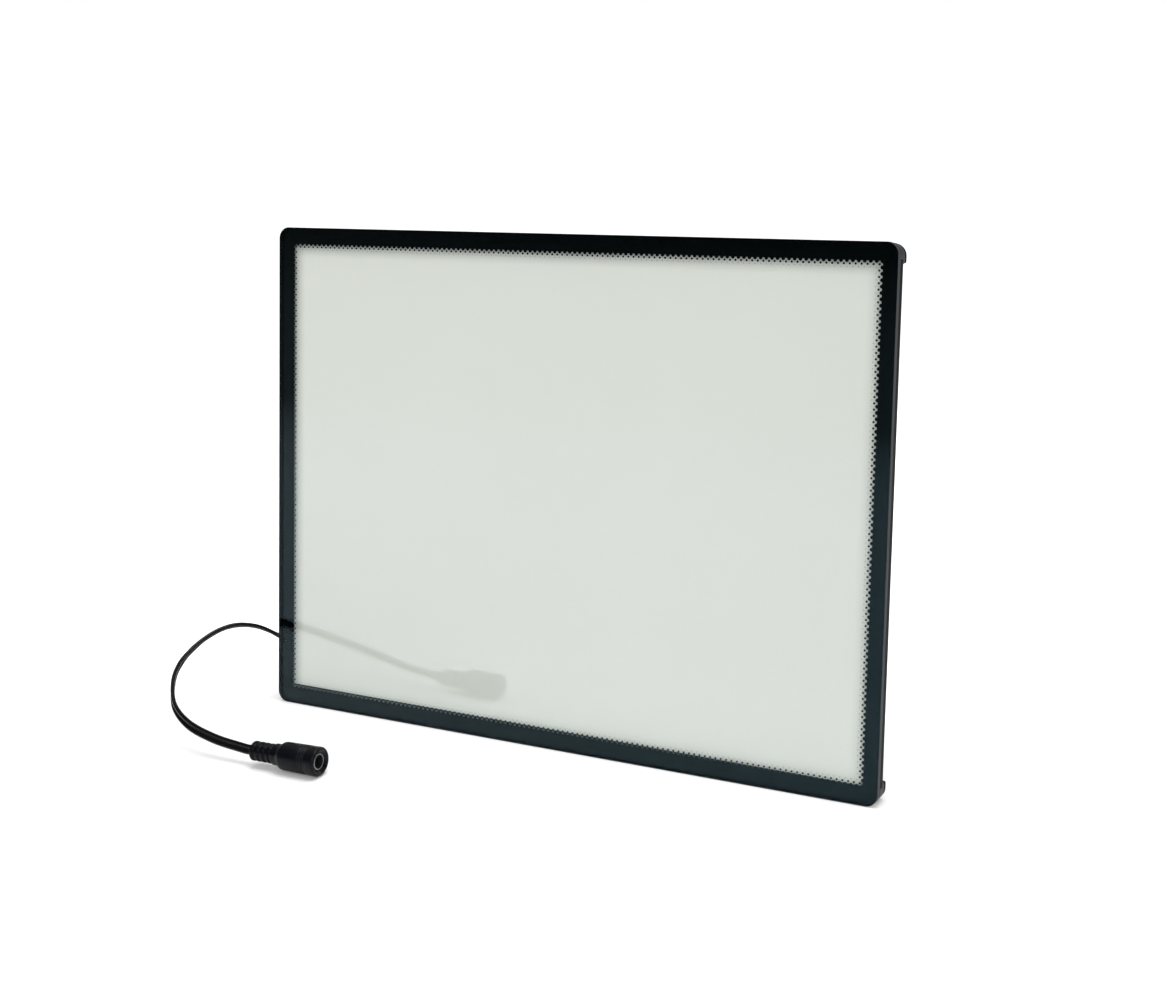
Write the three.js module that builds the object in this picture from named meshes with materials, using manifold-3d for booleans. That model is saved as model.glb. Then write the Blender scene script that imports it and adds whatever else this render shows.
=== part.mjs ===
// Slim edge-lit advertising light box for an A4 sheet, standing on a desk.
//
// A clear cover plate with a black border printed on its back is held by four magnets on a thin
// lit panel. The panel leans back on a fold-out rear leg, and its low-voltage lead runs round its
// left edge to a barrel socket that lies on the desk in front.
//
// Units are millimetres. The desk is z = 0, +Z is up, and the viewer stands on the -Y side.
// The panel itself is drawn as seen from the front, x to the right, y up and z towards the
// viewer, centred on its front face. Depths count backwards from that face.

import * as THREE from 'three';
import { mergeVertices } from 'three/addons/utils/BufferGeometryUtils.js';
import Module from 'manifold-3d';

const wasm = await Module();
wasm.setup();

// Driving dimensions

const PANEL_WIDTH = 305;
const PANEL_HEIGHT = 228;
const LEAN = THREE.MathUtils.degToRad(4.5);

const COVER_THICKNESS = 3;
const COVER_CORNER_RADIUS = 5.3;
const COVER_ARRIS = 0.25;
const PRINT_THICKNESS = 0.1;
const PRINT_SIDE_BORDER = 7.8;
const PRINT_END_BORDER = 8.5;
const PRINT_CORNER_RADIUS = 1;

// Bonded layers keep SEAM between their solids, and loose pieces keep FIT.
const SEAM = 0.1;
const FIT = 0.3;

// A bevel wider than this is rounded in two steps.
const PLAIN_BEVEL = 0.4;

const FRAME_SIDE_INSET = 0.1;
const FRAME_END_INSET = 0.4;
const RAIL_DEPTH = 2.5;
const RAIL_WALL = 3;
const RAIL_LIP_REACH = 5.5;
const RAIL_LIP_THICKNESS = 0.35;
const RAIL_CHANNEL_WIDTH = 1.8;
const RAIL_CHANNEL_DEPTH = 1.3;

const DIFFUSER_THICKNESS = 0.4;
const GUIDE_THICKNESS = 1.1;
const REFLECTOR_THICKNESS = 0.2;
const BACK_THICKNESS = 0.6;
const SIDE_MARGIN = 1.2;

const LED_BOARD_THICKNESS = 0.4;
const LED_BOARD_HEIGHT = 1.8;
const LED_LENGTH = 2.8;
const LED_WIDTH = 1;
const LED_REACH = 0.7;
const LED_PITCH = 12;
const LINK_WIRE_DIAMETER = 0.7;

const BLOCK_FRONT_SIZE = 6.6;
const BLOCK_REAR_SIZE = 8.3;
const BLOCK_REAR_THICKNESS = 1.9;
const BLOCK_CORNER_RADIUS = 5.2;
const BLOCK_SMALL_RADIUS = 0.8;
const TONGUE_LENGTH = 8;
const TONGUE_CLEARANCE = 0.15;
const PAD_THICKNESS = 2.8;
const PAD_INSET = 0.2;
const PAD_EDGE_RADIUS = 0.4;

const MAGNET_DIAMETER = 4;
const MAGNET_THICKNESS = 1.5;
const MAGNET_FROM_SIDE = 3.9;
const KEEPER_THICKNESS = 0.5;
const POCKET_CLEARANCE = 0.25;

const PIN_HEIGHT = 150;
const PIN_DIAMETER = 1.6;
const PIN_END = 1;
const BORE_CLEARANCE = 0.1;
const KNUCKLE_WALL = 0.8;
const BRACKET_THICKNESS = 0.8;
const BRACKET_WIDTH = 46;
const BRACKET_HEIGHT = 22;
const BRACKET_CORNER_RADIUS = 2;
const KNUCKLE_LENGTH = 8;
const LEG_THICKNESS = 1.4;
const LEG_TOP_WIDTH = 26;
const LEG_FOOT_WIDTH = 40;
const LEG_NECK = 14;
const LEG_CORNER_RADIUS = 5;
const LEG_RIB_WIDTH = 5;
const LEG_RIB_HEIGHT = 0.7;
const LEG_RIB_MARGIN = 18;
const FOOT_WIDTH = 34;
const FOOT_HEIGHT = 7;
const FOOT_DEPTH = 4.6;
const FOOT_SOLE = 2;

const HOUSING_WIDTH = 30;
const HOUSING_HEIGHT = 16;
const HOUSING_DEPTH = 3.8;
const HOUSING_BEVEL = 0.8;
const HOUSING_CORNER_RADIUS = 2.5;
const HOUSING_FROM_SIDE = 41;
const HOUSING_ABOVE_EDGE = 22;
const LEAD_HOLE_DIAMETER = 4;
const GROMMET_LENGTH = 6;
const GROMMET_HEIGHT = 6;
const GROMMET_TIP_HEIGHT = 4.8;
const GROMMET_FLATNESS = 0.6;
const GROMMET_RIB_COUNT = 3;
const GROMMET_RIB_DEPTH = 0.35;

const CORD_WIDTH = 3.8;
const CORD_THICKNESS = 2;
const CORD_STEP = 9;

const JACK_LENGTH = 35;
const JACK_TAIL_DIAMETER = 8.6;
const JACK_NECK_DIAMETER = 9.4;
const JACK_BODY_DIAMETER = 12.3;
const JACK_HEAD_DIAMETER = 12.8;
const JACK_RIB_COUNT = 4;
const JACK_RIB_PITCH = 2.8;
const JACK_RIB_DEPTH = 0.55;
const JACK_RIB_SHARE = 0.6;
const JACK_RIB_RAMP = 0.15;
const JACK_NECK_END = 14.2;
const JACK_SHOULDER_END = 16.6;
const JACK_RING_AT = 26.5;
const JACK_RING_PITCH = 1.3;
const JACK_RING_DEPTH = 0.2;
const JACK_RING_COUNT = 3;
const JACK_EDGE_RADIUS = 1.1;
const SOCKET_DEPTH = 10;
const SLEEVE_DIAMETER = 7;
const SLEEVE_WALL = 0.7;
const SLEEVE_SET_BACK = 1;
const CONTACT_DIAMETER = 2.1;
const CONTACT_SET_BACK = 3.5;
const INSULATOR_THICKNESS = 1.5;
const JACK_TAIL_AT = new THREE.Vector2(-107.8, -90.8);
const JACK_TURN = THREE.MathUtils.degToRad(2.5);

// Depths and places that follow from them

const printDepth = COVER_THICKNESS + SEAM;
const frameDepth = printDepth + PRINT_THICKNESS + SEAM;
const diffuserDepth = frameDepth + RAIL_LIP_THICKNESS + SEAM;
const guideDepth = diffuserDepth + DIFFUSER_THICKNESS + SEAM;
const reflectorDepth = guideDepth + GUIDE_THICKNESS + SEAM;
const backDepth = frameDepth + RAIL_DEPTH + SEAM;
const backFace = backDepth + BACK_THICKNESS;
const blockRearDepth = backFace + SEAM;
const padDepth = blockRearDepth + BLOCK_REAR_THICKNESS + SEAM;
const bodyWidth = PANEL_WIDTH - 2 * FRAME_SIDE_INSET;
const bodyHeight = PANEL_HEIGHT - 2 * FRAME_END_INSET;
const bracketDepth = backFace + SEAM;
const bracketBack = bracketDepth + BRACKET_THICKNESS;
const knuckleRadius = PIN_DIAMETER / 2 + BORE_CLEARANCE + KNUCKLE_WALL;
const pinDepth = bracketBack + FIT + knuckleRadius;

// How far a bottom corner at this depth, set in by this much, would sink below the desk
function sink(depth, inset) {
  return depth * Math.sin(LEAN) - inset * Math.cos(LEAN);
}

// Resting on its lowest rear edge, the panel is lifted by what that edge would sink.
const lift = Math.max(
  sink(COVER_THICKNESS, 0),
  sink(padDepth - SEAM, FRAME_END_INSET),
  sink(padDepth + PAD_THICKNESS - PAD_EDGE_RADIUS, FRAME_END_INSET + PAD_INSET)
);

// The leg folds level with the panel's bottom edge and stands at the angle where it meets the desk.
const legLength = PIN_HEIGHT;
const pinAboveDesk = PIN_HEIGHT * Math.cos(LEAN) - pinDepth * Math.sin(LEAN) + lift;
const legTilt = Math.acos(pinAboveDesk / legLength);
const legOpening = legTilt + LEAN;

const pinReach = pinDepth * Math.cos(LEAN) + PIN_HEIGHT * Math.sin(LEAN);
const footprint = pinReach + legLength * Math.sin(legTilt) + FOOT_DEPTH / 2 / Math.cos(legTilt);

// Shared shapes and solids

function material(color, roughness, metalness) {
  return new THREE.MeshStandardMaterial({ color, roughness, metalness });
}

const MATERIALS = {
  clear: new THREE.MeshStandardMaterial({
    color: '#e6ece8', roughness: 0.05, metalness: 0, transparent: true, opacity: 0.35
  }),
  print: material('#0a0b0c', 0.5, 0),
  blackPlastic: material('#1b1d1f', 0.45, 0),
  rubber: material('#141414', 0.85, 0),
  steel: material('#b4b6b8', 0.3, 1),
  blackSteel: material('#17181a', 0.5, 0.6),
  diffuser: material('#dfe4dc', 0.7, 0),
  guide: material('#e9eeea', 0.1, 0),
  reflector: material('#f4f4f2', 0.5, 0),
  board: material('#e8e8e0', 0.6, 0),
  wire: material('#b01818', 0.6, 0),
  cord: material('#111213', 0.5, 0),
  brass: material('#c8a860', 0.3, 1)
};

// A rectangle about the origin with its four corners rounded, in the order
// top right, top left, bottom left, bottom right.
function roundedRectangle(width, height, radii) {
  const [a, b, c, d] = Array.isArray(radii) ? radii : [radii, radii, radii, radii];
  const x = width / 2;
  const y = height / 2;
  const shape = new THREE.Shape();
  shape.moveTo(x, y - a);
  shape.absarc(x - a, y - a, a, 0, Math.PI / 2, false);
  shape.absarc(-x + b, y - b, b, Math.PI / 2, Math.PI, false);
  shape.absarc(-x + c, -y + c, c, Math.PI, 1.5 * Math.PI, false);
  shape.absarc(x - d, -y + d, d, 1.5 * Math.PI, 2 * Math.PI, false);
  return shape;
}

// A rectangle about the origin with a square notch taken out of each corner.
function notchedRectangle(width, height, notch) {
  const x = width / 2;
  const y = height / 2;
  const shape = new THREE.Shape();
  shape.moveTo(x, -y + notch);
  shape.lineTo(x, y - notch);
  shape.lineTo(x - notch, y - notch);
  shape.lineTo(x - notch, y);
  shape.lineTo(-x + notch, y);
  shape.lineTo(-x + notch, y - notch);
  shape.lineTo(-x, y - notch);
  shape.lineTo(-x, -y + notch);
  shape.lineTo(-x + notch, -y + notch);
  shape.lineTo(-x + notch, -y);
  shape.lineTo(x - notch, -y);
  shape.lineTo(x - notch, -y + notch);
  return shape;
}

// An outline made solid from one depth backwards, with both rims bevelled where asked.
function layer(shape, depth, thickness, bevel = 0, curveSegments = 5) {
  const geometry = new THREE.ExtrudeGeometry(shape, {
    depth: thickness - 2 * bevel,
    curveSegments,
    bevelEnabled: bevel > 0,
    bevelThickness: bevel,
    bevelSize: bevel,
    bevelOffset: -bevel,
    bevelSegments: bevel > PLAIN_BEVEL ? 2 : 1
  });
  return geometry.translate(0, 0, bevel - depth - thickness);
}

function cylinder(radius, depth, thickness, segments = 20) {
  const geometry = new THREE.CylinderGeometry(radius, radius, thickness, segments);
  return geometry.rotateX(Math.PI / 2).translate(0, 0, -depth - thickness / 2);
}

function box(width, height, depth, thickness) {
  return new THREE.BoxGeometry(width, height, thickness).translate(0, 0, -depth - thickness / 2);
}

function toSolid(geometry) {
  const bare = geometry.clone();
  bare.deleteAttribute('normal');
  bare.deleteAttribute('uv');
  const merged = mergeVertices(bare, 1e-4);
  return new wasm.Manifold(new wasm.Mesh({
    numProp: 3,
    vertProperties: new Float32Array(merged.attributes.position.array),
    triVerts: new Uint32Array(merged.index.array)
  }));
}

function toGeometry(solid) {
  const mesh = solid.getMesh();
  const geometry = new THREE.BufferGeometry();
  const places = new Float32Array(mesh.vertProperties);
  geometry.setAttribute('position', new THREE.BufferAttribute(places, 3));
  geometry.setIndex(new THREE.BufferAttribute(new Uint32Array(mesh.triVerts), 1));
  geometry.computeVertexNormals();
  return geometry;
}

function join(first, ...others) {
  return toGeometry(others.reduce((solid, other) => solid.add(toSolid(other)), toSolid(first)));
}

function cut(first, ...others) {
  return toGeometry(others.reduce((solid, other) => solid.subtract(toSolid(other)), toSolid(first)));
}

function piece(parent, name, geometry, look) {
  const mesh = new THREE.Mesh(geometry, look);
  mesh.name = name;
  parent.add(mesh);
  return mesh;
}

// The four corners, each with the quarter turn that brings the top right one to it.
const CORNERS = [
  { name: 'top_right', x: 1, y: 1, turn: 0 },
  { name: 'top_left', x: -1, y: 1, turn: Math.PI / 2 },
  { name: 'bottom_left', x: -1, y: -1, turn: Math.PI },
  { name: 'bottom_right', x: 1, y: -1, turn: 1.5 * Math.PI }
];

// The part and its groups

const lightBox = new THREE.Group();
const panel = new THREE.Group();
lightBox.add(panel);

// The panel turns up from lying on its back, leans back and rests on its rear bottom edge.
panel.rotation.x = Math.PI / 2 - LEAN;
const halfHeight = PANEL_HEIGHT / 2;
panel.position.set(0, halfHeight * Math.sin(LEAN) - footprint / 2, halfHeight * Math.cos(LEAN) + lift);

// Front cover: clear plate, printed border and the four steel keepers bonded behind it

const coverOutline = roundedRectangle(PANEL_WIDTH, PANEL_HEIGHT, COVER_CORNER_RADIUS);
piece(panel, 'cover_plate', layer(coverOutline, 0, COVER_THICKNESS, COVER_ARRIS, 8), MATERIALS.clear);

function printedBorder() {
  const border = roundedRectangle(
    PANEL_WIDTH - 2 * COVER_ARRIS, PANEL_HEIGHT - 2 * COVER_ARRIS, COVER_CORNER_RADIUS - COVER_ARRIS);
  border.holes.push(roundedRectangle(
    PANEL_WIDTH - 2 * PRINT_SIDE_BORDER, PANEL_HEIGHT - 2 * PRINT_END_BORDER, PRINT_CORNER_RADIUS));
  return layer(border, printDepth, PRINT_THICKNESS, 0, 8);
}
piece(panel, 'border_print', printedBorder(), MATERIALS.print);

const keeperDepth = frameDepth;
const magnetDepth = keeperDepth + KEEPER_THICKNESS + SEAM;
const magnetX = bodyWidth / 2 - MAGNET_FROM_SIDE;
const magnetY = bodyHeight / 2 - MAGNET_FROM_SIDE;

for (const corner of CORNERS) {
  const keeper = cylinder(MAGNET_DIAMETER / 2, keeperDepth, KEEPER_THICKNESS);
  piece(panel, `cover_keeper_${corner.name}`, keeper, MATERIALS.steel)
    .position.set(corner.x * magnetX, corner.y * magnetY, 0);
  const magnet = cylinder(MAGNET_DIAMETER / 2, magnetDepth, MAGNET_THICKNESS);
  piece(panel, `magnet_${corner.name}`, magnet, MATERIALS.steel)
    .position.set(corner.x * magnetX, corner.y * magnetY, 0);
}

// Corner blocks: a front part between the rails with a tongue into each, a larger rear part that
// clamps the back sheet, and a blind pocket for the magnet. Each is drawn with the body's corner
// at the origin and turned into place.

const channelMiddle = RAIL_WALL / 2;
const railMiddleDepth = frameDepth + RAIL_DEPTH / 2;

function blockOutline(size, outerRadius) {
  const small = BLOCK_SMALL_RADIUS;
  return roundedRectangle(size, size, [outerRadius, small, small, small]);
}

function cornerBlock() {
  const outline = blockOutline(BLOCK_REAR_SIZE, BLOCK_CORNER_RADIUS);
  const frontLength = blockRearDepth - frameDepth + BLOCK_REAR_THICKNESS / 2;
  const front = layer(outline, frameDepth, frontLength, 0, 8)
    .translate(-BLOCK_REAR_SIZE / 2, -BLOCK_REAR_SIZE / 2, 0);
  const core = box(BLOCK_FRONT_SIZE, BLOCK_FRONT_SIZE, 0, padDepth)
    .translate(-BLOCK_FRONT_SIZE / 2, -BLOCK_FRONT_SIZE / 2, 0);
  const rear = layer(outline, blockRearDepth, BLOCK_REAR_THICKNESS, 0, 8)
    .translate(-BLOCK_REAR_SIZE / 2, -BLOCK_REAR_SIZE / 2, 0);
  const tongueWidth = RAIL_CHANNEL_WIDTH - 2 * TONGUE_CLEARANCE;
  const tongueDepth = RAIL_CHANNEL_DEPTH - 2 * TONGUE_CLEARANCE;
  const tongueReach = TONGUE_LENGTH + BLOCK_SMALL_RADIUS;
  const tongueStart = railMiddleDepth - tongueDepth / 2;
  const sideTongue = box(tongueWidth, tongueReach, tongueStart, tongueDepth)
    .translate(-channelMiddle, -BLOCK_FRONT_SIZE + BLOCK_SMALL_RADIUS - tongueReach / 2, 0);
  const endTongue = box(tongueReach, tongueWidth, tongueStart, tongueDepth)
    .translate(-BLOCK_FRONT_SIZE + BLOCK_SMALL_RADIUS - tongueReach / 2, -channelMiddle, 0);
  const pocketDepth = magnetDepth + MAGNET_THICKNESS + SEAM;
  const pocket = cylinder(MAGNET_DIAMETER / 2 + POCKET_CLEARANCE, 0, pocketDepth)
    .translate(-MAGNET_FROM_SIDE, -MAGNET_FROM_SIDE, 0);
  const trimmedFront = toSolid(front).intersect(toSolid(core));
  const whole = trimmedFront.add(toSolid(rear)).add(toSolid(sideTongue)).add(toSolid(endTongue));
  return toGeometry(whole.subtract(toSolid(pocket)));
}

function cornerPad() {
  const shape = blockOutline(BLOCK_REAR_SIZE - 2 * PAD_INSET, BLOCK_CORNER_RADIUS - PAD_INSET);
  return layer(shape, padDepth, PAD_THICKNESS, PAD_EDGE_RADIUS, 4)
    .translate(-BLOCK_REAR_SIZE / 2, -BLOCK_REAR_SIZE / 2, 0);
}

for (const corner of CORNERS) {
  for (const [name, geometry, look] of [
    ['corner_block', cornerBlock(), MATERIALS.blackPlastic],
    ['corner_pad', cornerPad(), MATERIALS.rubber]
  ]) {
    const mesh = piece(panel, `${name}_${corner.name}`, geometry, look);
    mesh.position.set(corner.x * bodyWidth / 2, corner.y * bodyHeight / 2, 0);
    mesh.rotation.z = corner.turn;
  }
}

// Frame rails: an angle section with a hollow wall, cut square against the corner blocks

function railSection() {
  const section = new THREE.Shape();
  section.moveTo(0, 0);
  section.lineTo(RAIL_LIP_REACH, 0);
  section.lineTo(RAIL_LIP_REACH, RAIL_LIP_THICKNESS);
  section.lineTo(RAIL_WALL, RAIL_LIP_THICKNESS);
  section.lineTo(RAIL_WALL, RAIL_DEPTH);
  section.lineTo(0, RAIL_DEPTH);
  section.closePath();
  const x = channelMiddle - RAIL_CHANNEL_WIDTH / 2;
  const y = RAIL_DEPTH / 2 - RAIL_CHANNEL_DEPTH / 2;
  const channel = new THREE.Path();
  channel.moveTo(x, y);
  channel.lineTo(x + RAIL_CHANNEL_WIDTH, y);
  channel.lineTo(x + RAIL_CHANNEL_WIDTH, y + RAIL_CHANNEL_DEPTH);
  channel.lineTo(x, y + RAIL_CHANNEL_DEPTH);
  channel.closePath();
  section.holes.push(channel);
  return section;
}

// Section x runs inwards from the outer face and section y backwards from the frame's front.
function rail(inward, span) {
  const length = span - 2 * (BLOCK_FRONT_SIZE + FIT);
  const geometry = new THREE.ExtrudeGeometry(railSection(), { depth: length, bevelEnabled: false });
  geometry.translate(0, 0, -length / 2);
  const backwards = new THREE.Vector3(0, 0, -1);
  const along = new THREE.Vector3().crossVectors(inward, backwards);
  return geometry.applyMatrix4(new THREE.Matrix4().makeBasis(inward, backwards, along));
}

for (const [name, x, y, span] of [
  ['right', 1, 0, bodyHeight],
  ['left', -1, 0, bodyHeight],
  ['top', 0, 1, bodyWidth],
  ['bottom', 0, -1, bodyWidth]
]) {
  piece(panel, `frame_rail_${name}`, rail(new THREE.Vector3(-x, -y, 0), span), MATERIALS.blackPlastic)
    .position.set(x * bodyWidth / 2, y * bodyHeight / 2, -frameDepth);
}

// Lit stack: diffuser, light guide and reflector, with an LED strip along the top and the bottom

const stripBack = bodyHeight / 2 - RAIL_WALL - SEAM;
const guideWidth = bodyWidth - 2 * (RAIL_WALL + SIDE_MARGIN);
const guideHeight = 2 * (stripBack - LED_BOARD_THICKNESS - LED_REACH - SEAM);
const sheetNotch = BLOCK_FRONT_SIZE + FIT - RAIL_WALL;

for (const [name, depth, thickness, look] of [
  ['diffuser_sheet', diffuserDepth, DIFFUSER_THICKNESS, MATERIALS.diffuser],
  ['light_guide', guideDepth, GUIDE_THICKNESS, MATERIALS.guide],
  ['reflector_sheet', reflectorDepth, REFLECTOR_THICKNESS, MATERIALS.reflector]
]) {
  const outline = notchedRectangle(guideWidth, guideHeight, sheetNotch);
  piece(panel, name, layer(outline, depth, thickness), look);
}

// One strip, drawn for the top with its LEDs facing down into the guide's edge.
function ledStrip() {
  const length = bodyWidth - 2 * (BLOCK_FRONT_SIZE + TONGUE_CLEARANCE + FIT);
  const boardStart = railMiddleDepth + RAIL_LIP_THICKNESS / 2 - LED_BOARD_HEIGHT / 2;
  let strip = toSolid(box(length, LED_BOARD_THICKNESS, boardStart, LED_BOARD_HEIGHT));
  const count = Math.floor(length / LED_PITCH);
  const ledStart = guideDepth + GUIDE_THICKNESS / 2 - LED_WIDTH / 2;
  for (let i = 0; i < count; i += 1) {
    const led = box(LED_LENGTH, LED_BOARD_THICKNESS / 2 + LED_REACH, ledStart, LED_WIDTH)
      .translate((i - (count - 1) / 2) * LED_PITCH, -LED_BOARD_THICKNESS / 4 - LED_REACH / 2, 0);
    strip = strip.add(toSolid(led));
  }
  return toGeometry(strip);
}

for (const [name, side] of [['top', 1], ['bottom', -1]]) {
  const strip = piece(panel, `led_strip_${name}`, ledStrip(), MATERIALS.board);
  strip.position.y = side * (stripBack - LED_BOARD_THICKNESS / 2);
  strip.rotation.z = side > 0 ? 0 : Math.PI;
}

// The wire that feeds the top strip runs up beside the guide, behind the left rail.
const wireLength = guideHeight - 2 * sheetNotch - 2 * FIT;
const wireRadius = LINK_WIRE_DIAMETER / 2;
const linkWire = new THREE.CylinderGeometry(wireRadius, wireRadius, wireLength, 8);
piece(panel, 'link_wire', linkWire, MATERIALS.wire)
  .position.set(-guideWidth / 2 - SIDE_MARGIN / 2, 0, -guideDepth - GUIDE_THICKNESS / 2);

// Back sheet, notched round the corner blocks, with the hole that the lead's ends go through

const housingX = -PANEL_WIDTH / 2 + HOUSING_FROM_SIDE;
const housingY = -PANEL_HEIGHT / 2 + HOUSING_ABOVE_EDGE;

function backSheet() {
  const shape = notchedRectangle(bodyWidth, bodyHeight, BLOCK_FRONT_SIZE + FIT);
  const hole = new THREE.Path();
  hole.absarc(housingX, housingY, LEAD_HOLE_DIAMETER / 2, 0, 2 * Math.PI, true);
  shape.holes.push(hole);
  return layer(shape, backDepth, BACK_THICKNESS);
}
piece(panel, 'back_sheet', backSheet(), MATERIALS.blackPlastic);

// Stand: bracket with two knuckles, pin, and the leg that turns on it between a fold against the
// back and the stop where its heel meets the bracket

const pinY = PIN_HEIGHT - halfHeight;

// A barrel along x about the origin, with a straight foot to the height of the plate it grows from.
function knuckle(length, footTo) {
  const shape = new THREE.Shape();
  shape.absarc(0, 0, knuckleRadius, -Math.PI / 2, Math.PI / 2, false);
  shape.lineTo(-footTo, knuckleRadius);
  shape.lineTo(-footTo, -knuckleRadius);
  shape.closePath();
  const barrel = new THREE.ExtrudeGeometry(shape, {
    depth: length,
    bevelEnabled: false,
    curveSegments: 10
  });
  // Shape x becomes backwards and shape y becomes up.
  const basis = new THREE.Matrix4().makeBasis(
    new THREE.Vector3(0, 0, -1), new THREE.Vector3(0, 1, 0), new THREE.Vector3(1, 0, 0));
  return barrel.applyMatrix4(basis).translate(-length / 2, 0, 0);
}

function pinRod(radius, length) {
  return new THREE.CylinderGeometry(radius, radius, length, 16).rotateZ(Math.PI / 2);
}

function standBracket() {
  const outline = roundedRectangle(BRACKET_WIDTH, BRACKET_HEIGHT, BRACKET_CORNER_RADIUS);
  const plate = layer(outline, bracketDepth, BRACKET_THICKNESS).translate(0, 0, pinDepth);
  const footTo = pinDepth - bracketDepth - BRACKET_THICKNESS / 2;
  const offset = LEG_TOP_WIDTH / 2 + FIT + KNUCKLE_LENGTH / 2;
  const joined = join(plate,
    knuckle(KNUCKLE_LENGTH, footTo).translate(offset, 0, 0),
    knuckle(KNUCKLE_LENGTH, footTo).translate(-offset, 0, 0));
  return cut(joined, pinRod(PIN_DIAMETER / 2 + BORE_CLEARANCE, BRACKET_WIDTH + 2 * PIN_END));
}
piece(panel, 'stand_bracket', standBracket(), MATERIALS.blackSteel).position.set(0, pinY, -pinDepth);

const pinLength = LEG_TOP_WIDTH + 2 * (FIT + KNUCKLE_LENGTH + PIN_END);
piece(panel, 'stand_pin', pinRod(PIN_DIAMETER / 2, pinLength), MATERIALS.steel)
  .position.set(0, pinY, -pinDepth);

// The leg turns about the pin: drawn hanging down from it, folded.
const standLeg = new THREE.Group();
standLeg.position.set(0, pinY, -pinDepth);
standLeg.rotation.x = legOpening;
panel.add(standLeg);

function legPlate() {
  const heelRoom = pinDepth - bracketBack - FIT - LEG_THICKNESS / 2 * Math.cos(legOpening);
  const heel = heelRoom / Math.sin(legOpening);
  const end = -legLength + FOOT_SOLE;
  const top = LEG_TOP_WIDTH / 2;
  const foot = LEG_FOOT_WIDTH / 2;
  const blade = new THREE.Shape();
  blade.moveTo(-top, heel);
  blade.lineTo(-top, -LEG_NECK);
  blade.lineTo(-foot, end + LEG_CORNER_RADIUS);
  blade.quadraticCurveTo(-foot, end, -foot + LEG_CORNER_RADIUS, end);
  blade.lineTo(foot - LEG_CORNER_RADIUS, end);
  blade.quadraticCurveTo(foot, end, foot, end + LEG_CORNER_RADIUS);
  blade.lineTo(top, -LEG_NECK);
  blade.lineTo(top, heel);
  blade.closePath();
  const plate = layer(blade, -LEG_THICKNESS / 2, LEG_THICKNESS);
  const ribLength = legLength - 2 * LEG_RIB_MARGIN;
  const rib = layer(roundedRectangle(LEG_RIB_WIDTH, ribLength, LEG_RIB_WIDTH / 2), 0,
    LEG_THICKNESS / 2 + LEG_RIB_HEIGHT).translate(0, -legLength / 2, 0);
  const barrel = pinRod(knuckleRadius, LEG_TOP_WIDTH);
  const bore = pinRod(PIN_DIAMETER / 2 + BORE_CLEARANCE, BRACKET_WIDTH);
  return cut(join(plate, rib, barrel), bore);
}
piece(standLeg, 'stand_leg', legPlate(), MATERIALS.blackSteel);

// Rubber foot: a shoe over the leg's end, its sole level with the desk when the leg stands open
function standFoot() {
  const half = FOOT_DEPTH / 2;
  const rise = half * Math.tan(legTilt);
  const profile = new THREE.Shape();
  profile.moveTo(half, -legLength - rise);
  profile.lineTo(half, -legLength + FOOT_HEIGHT);
  profile.lineTo(-half, -legLength + FOOT_HEIGHT);
  profile.lineTo(-half, -legLength + rise);
  profile.closePath();
  const basis = new THREE.Matrix4().makeBasis(
    new THREE.Vector3(0, 0, -1), new THREE.Vector3(0, 1, 0), new THREE.Vector3(1, 0, 0));
  const shoe = new THREE.ExtrudeGeometry(profile, { depth: FOOT_WIDTH, bevelEnabled: false });
  shoe.applyMatrix4(basis).translate(-FOOT_WIDTH / 2, 0, 0);
  const slotTop = FOOT_HEIGHT - FOOT_SOLE + FIT;
  const slotDepth = LEG_THICKNESS + 2 * FIT;
  const slot = box(LEG_FOOT_WIDTH + 2 * FIT, slotTop, -slotDepth / 2, slotDepth)
    .translate(0, -legLength + FOOT_SOLE - FIT + slotTop / 2, 0);
  return cut(shoe, slot);
}
piece(standLeg, 'stand_foot', standFoot(), MATERIALS.rubber);

// Lead housing on the back and the grommet that the lead leaves by

const housingBack = backFace + SEAM;
const grommetMiddle = housingBack + HOUSING_DEPTH / 2;
const housingShape = roundedRectangle(HOUSING_WIDTH, HOUSING_HEIGHT, HOUSING_CORNER_RADIUS);
const housing = layer(housingShape, housingBack, HOUSING_DEPTH, HOUSING_BEVEL);
piece(panel, 'lead_housing', housing, MATERIALS.blackPlastic).position.set(housingX, housingY, 0);

function grommet() {
  const root = GROMMET_HEIGHT / 2;
  const tip = GROMMET_TIP_HEIGHT / 2;
  const steps = 2 * GROMMET_RIB_COUNT;
  const profile = [new THREE.Vector2(0, 0), new THREE.Vector2(root, 0)];
  for (let i = 1; i < steps; i += 1) {
    const radius = THREE.MathUtils.lerp(root, tip, i / steps);
    const groove = i % 2 ? 0 : GROMMET_RIB_DEPTH;
    profile.push(new THREE.Vector2(radius - groove, i / steps * GROMMET_LENGTH));
  }
  profile.push(new THREE.Vector2(tip, GROMMET_LENGTH), new THREE.Vector2(0, GROMMET_LENGTH));
  return new THREE.LatheGeometry(profile, 16).rotateZ(Math.PI / 2).scale(1, 1, GROMMET_FLATNESS);
}
const grommetX = housingX - HOUSING_WIDTH / 2 - FIT;
piece(panel, 'lead_grommet', grommet(), MATERIALS.rubber)
  .position.set(grommetX, housingY, -grommetMiddle);

// Barrel socket at the lead's end, drawn along x from its tail and laid on the desk

const jack = new THREE.Group();
jack.position.set(JACK_TAIL_AT.x, JACK_TAIL_AT.y, JACK_HEAD_DIAMETER / 2 + FIT);
jack.rotation.z = JACK_TURN;
lightBox.add(jack);

function turned(points, segments) {
  const profile = points.map(([along, radius]) => new THREE.Vector2(radius, along));
  return new THREE.LatheGeometry(profile, segments).rotateZ(-Math.PI / 2);
}

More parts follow.
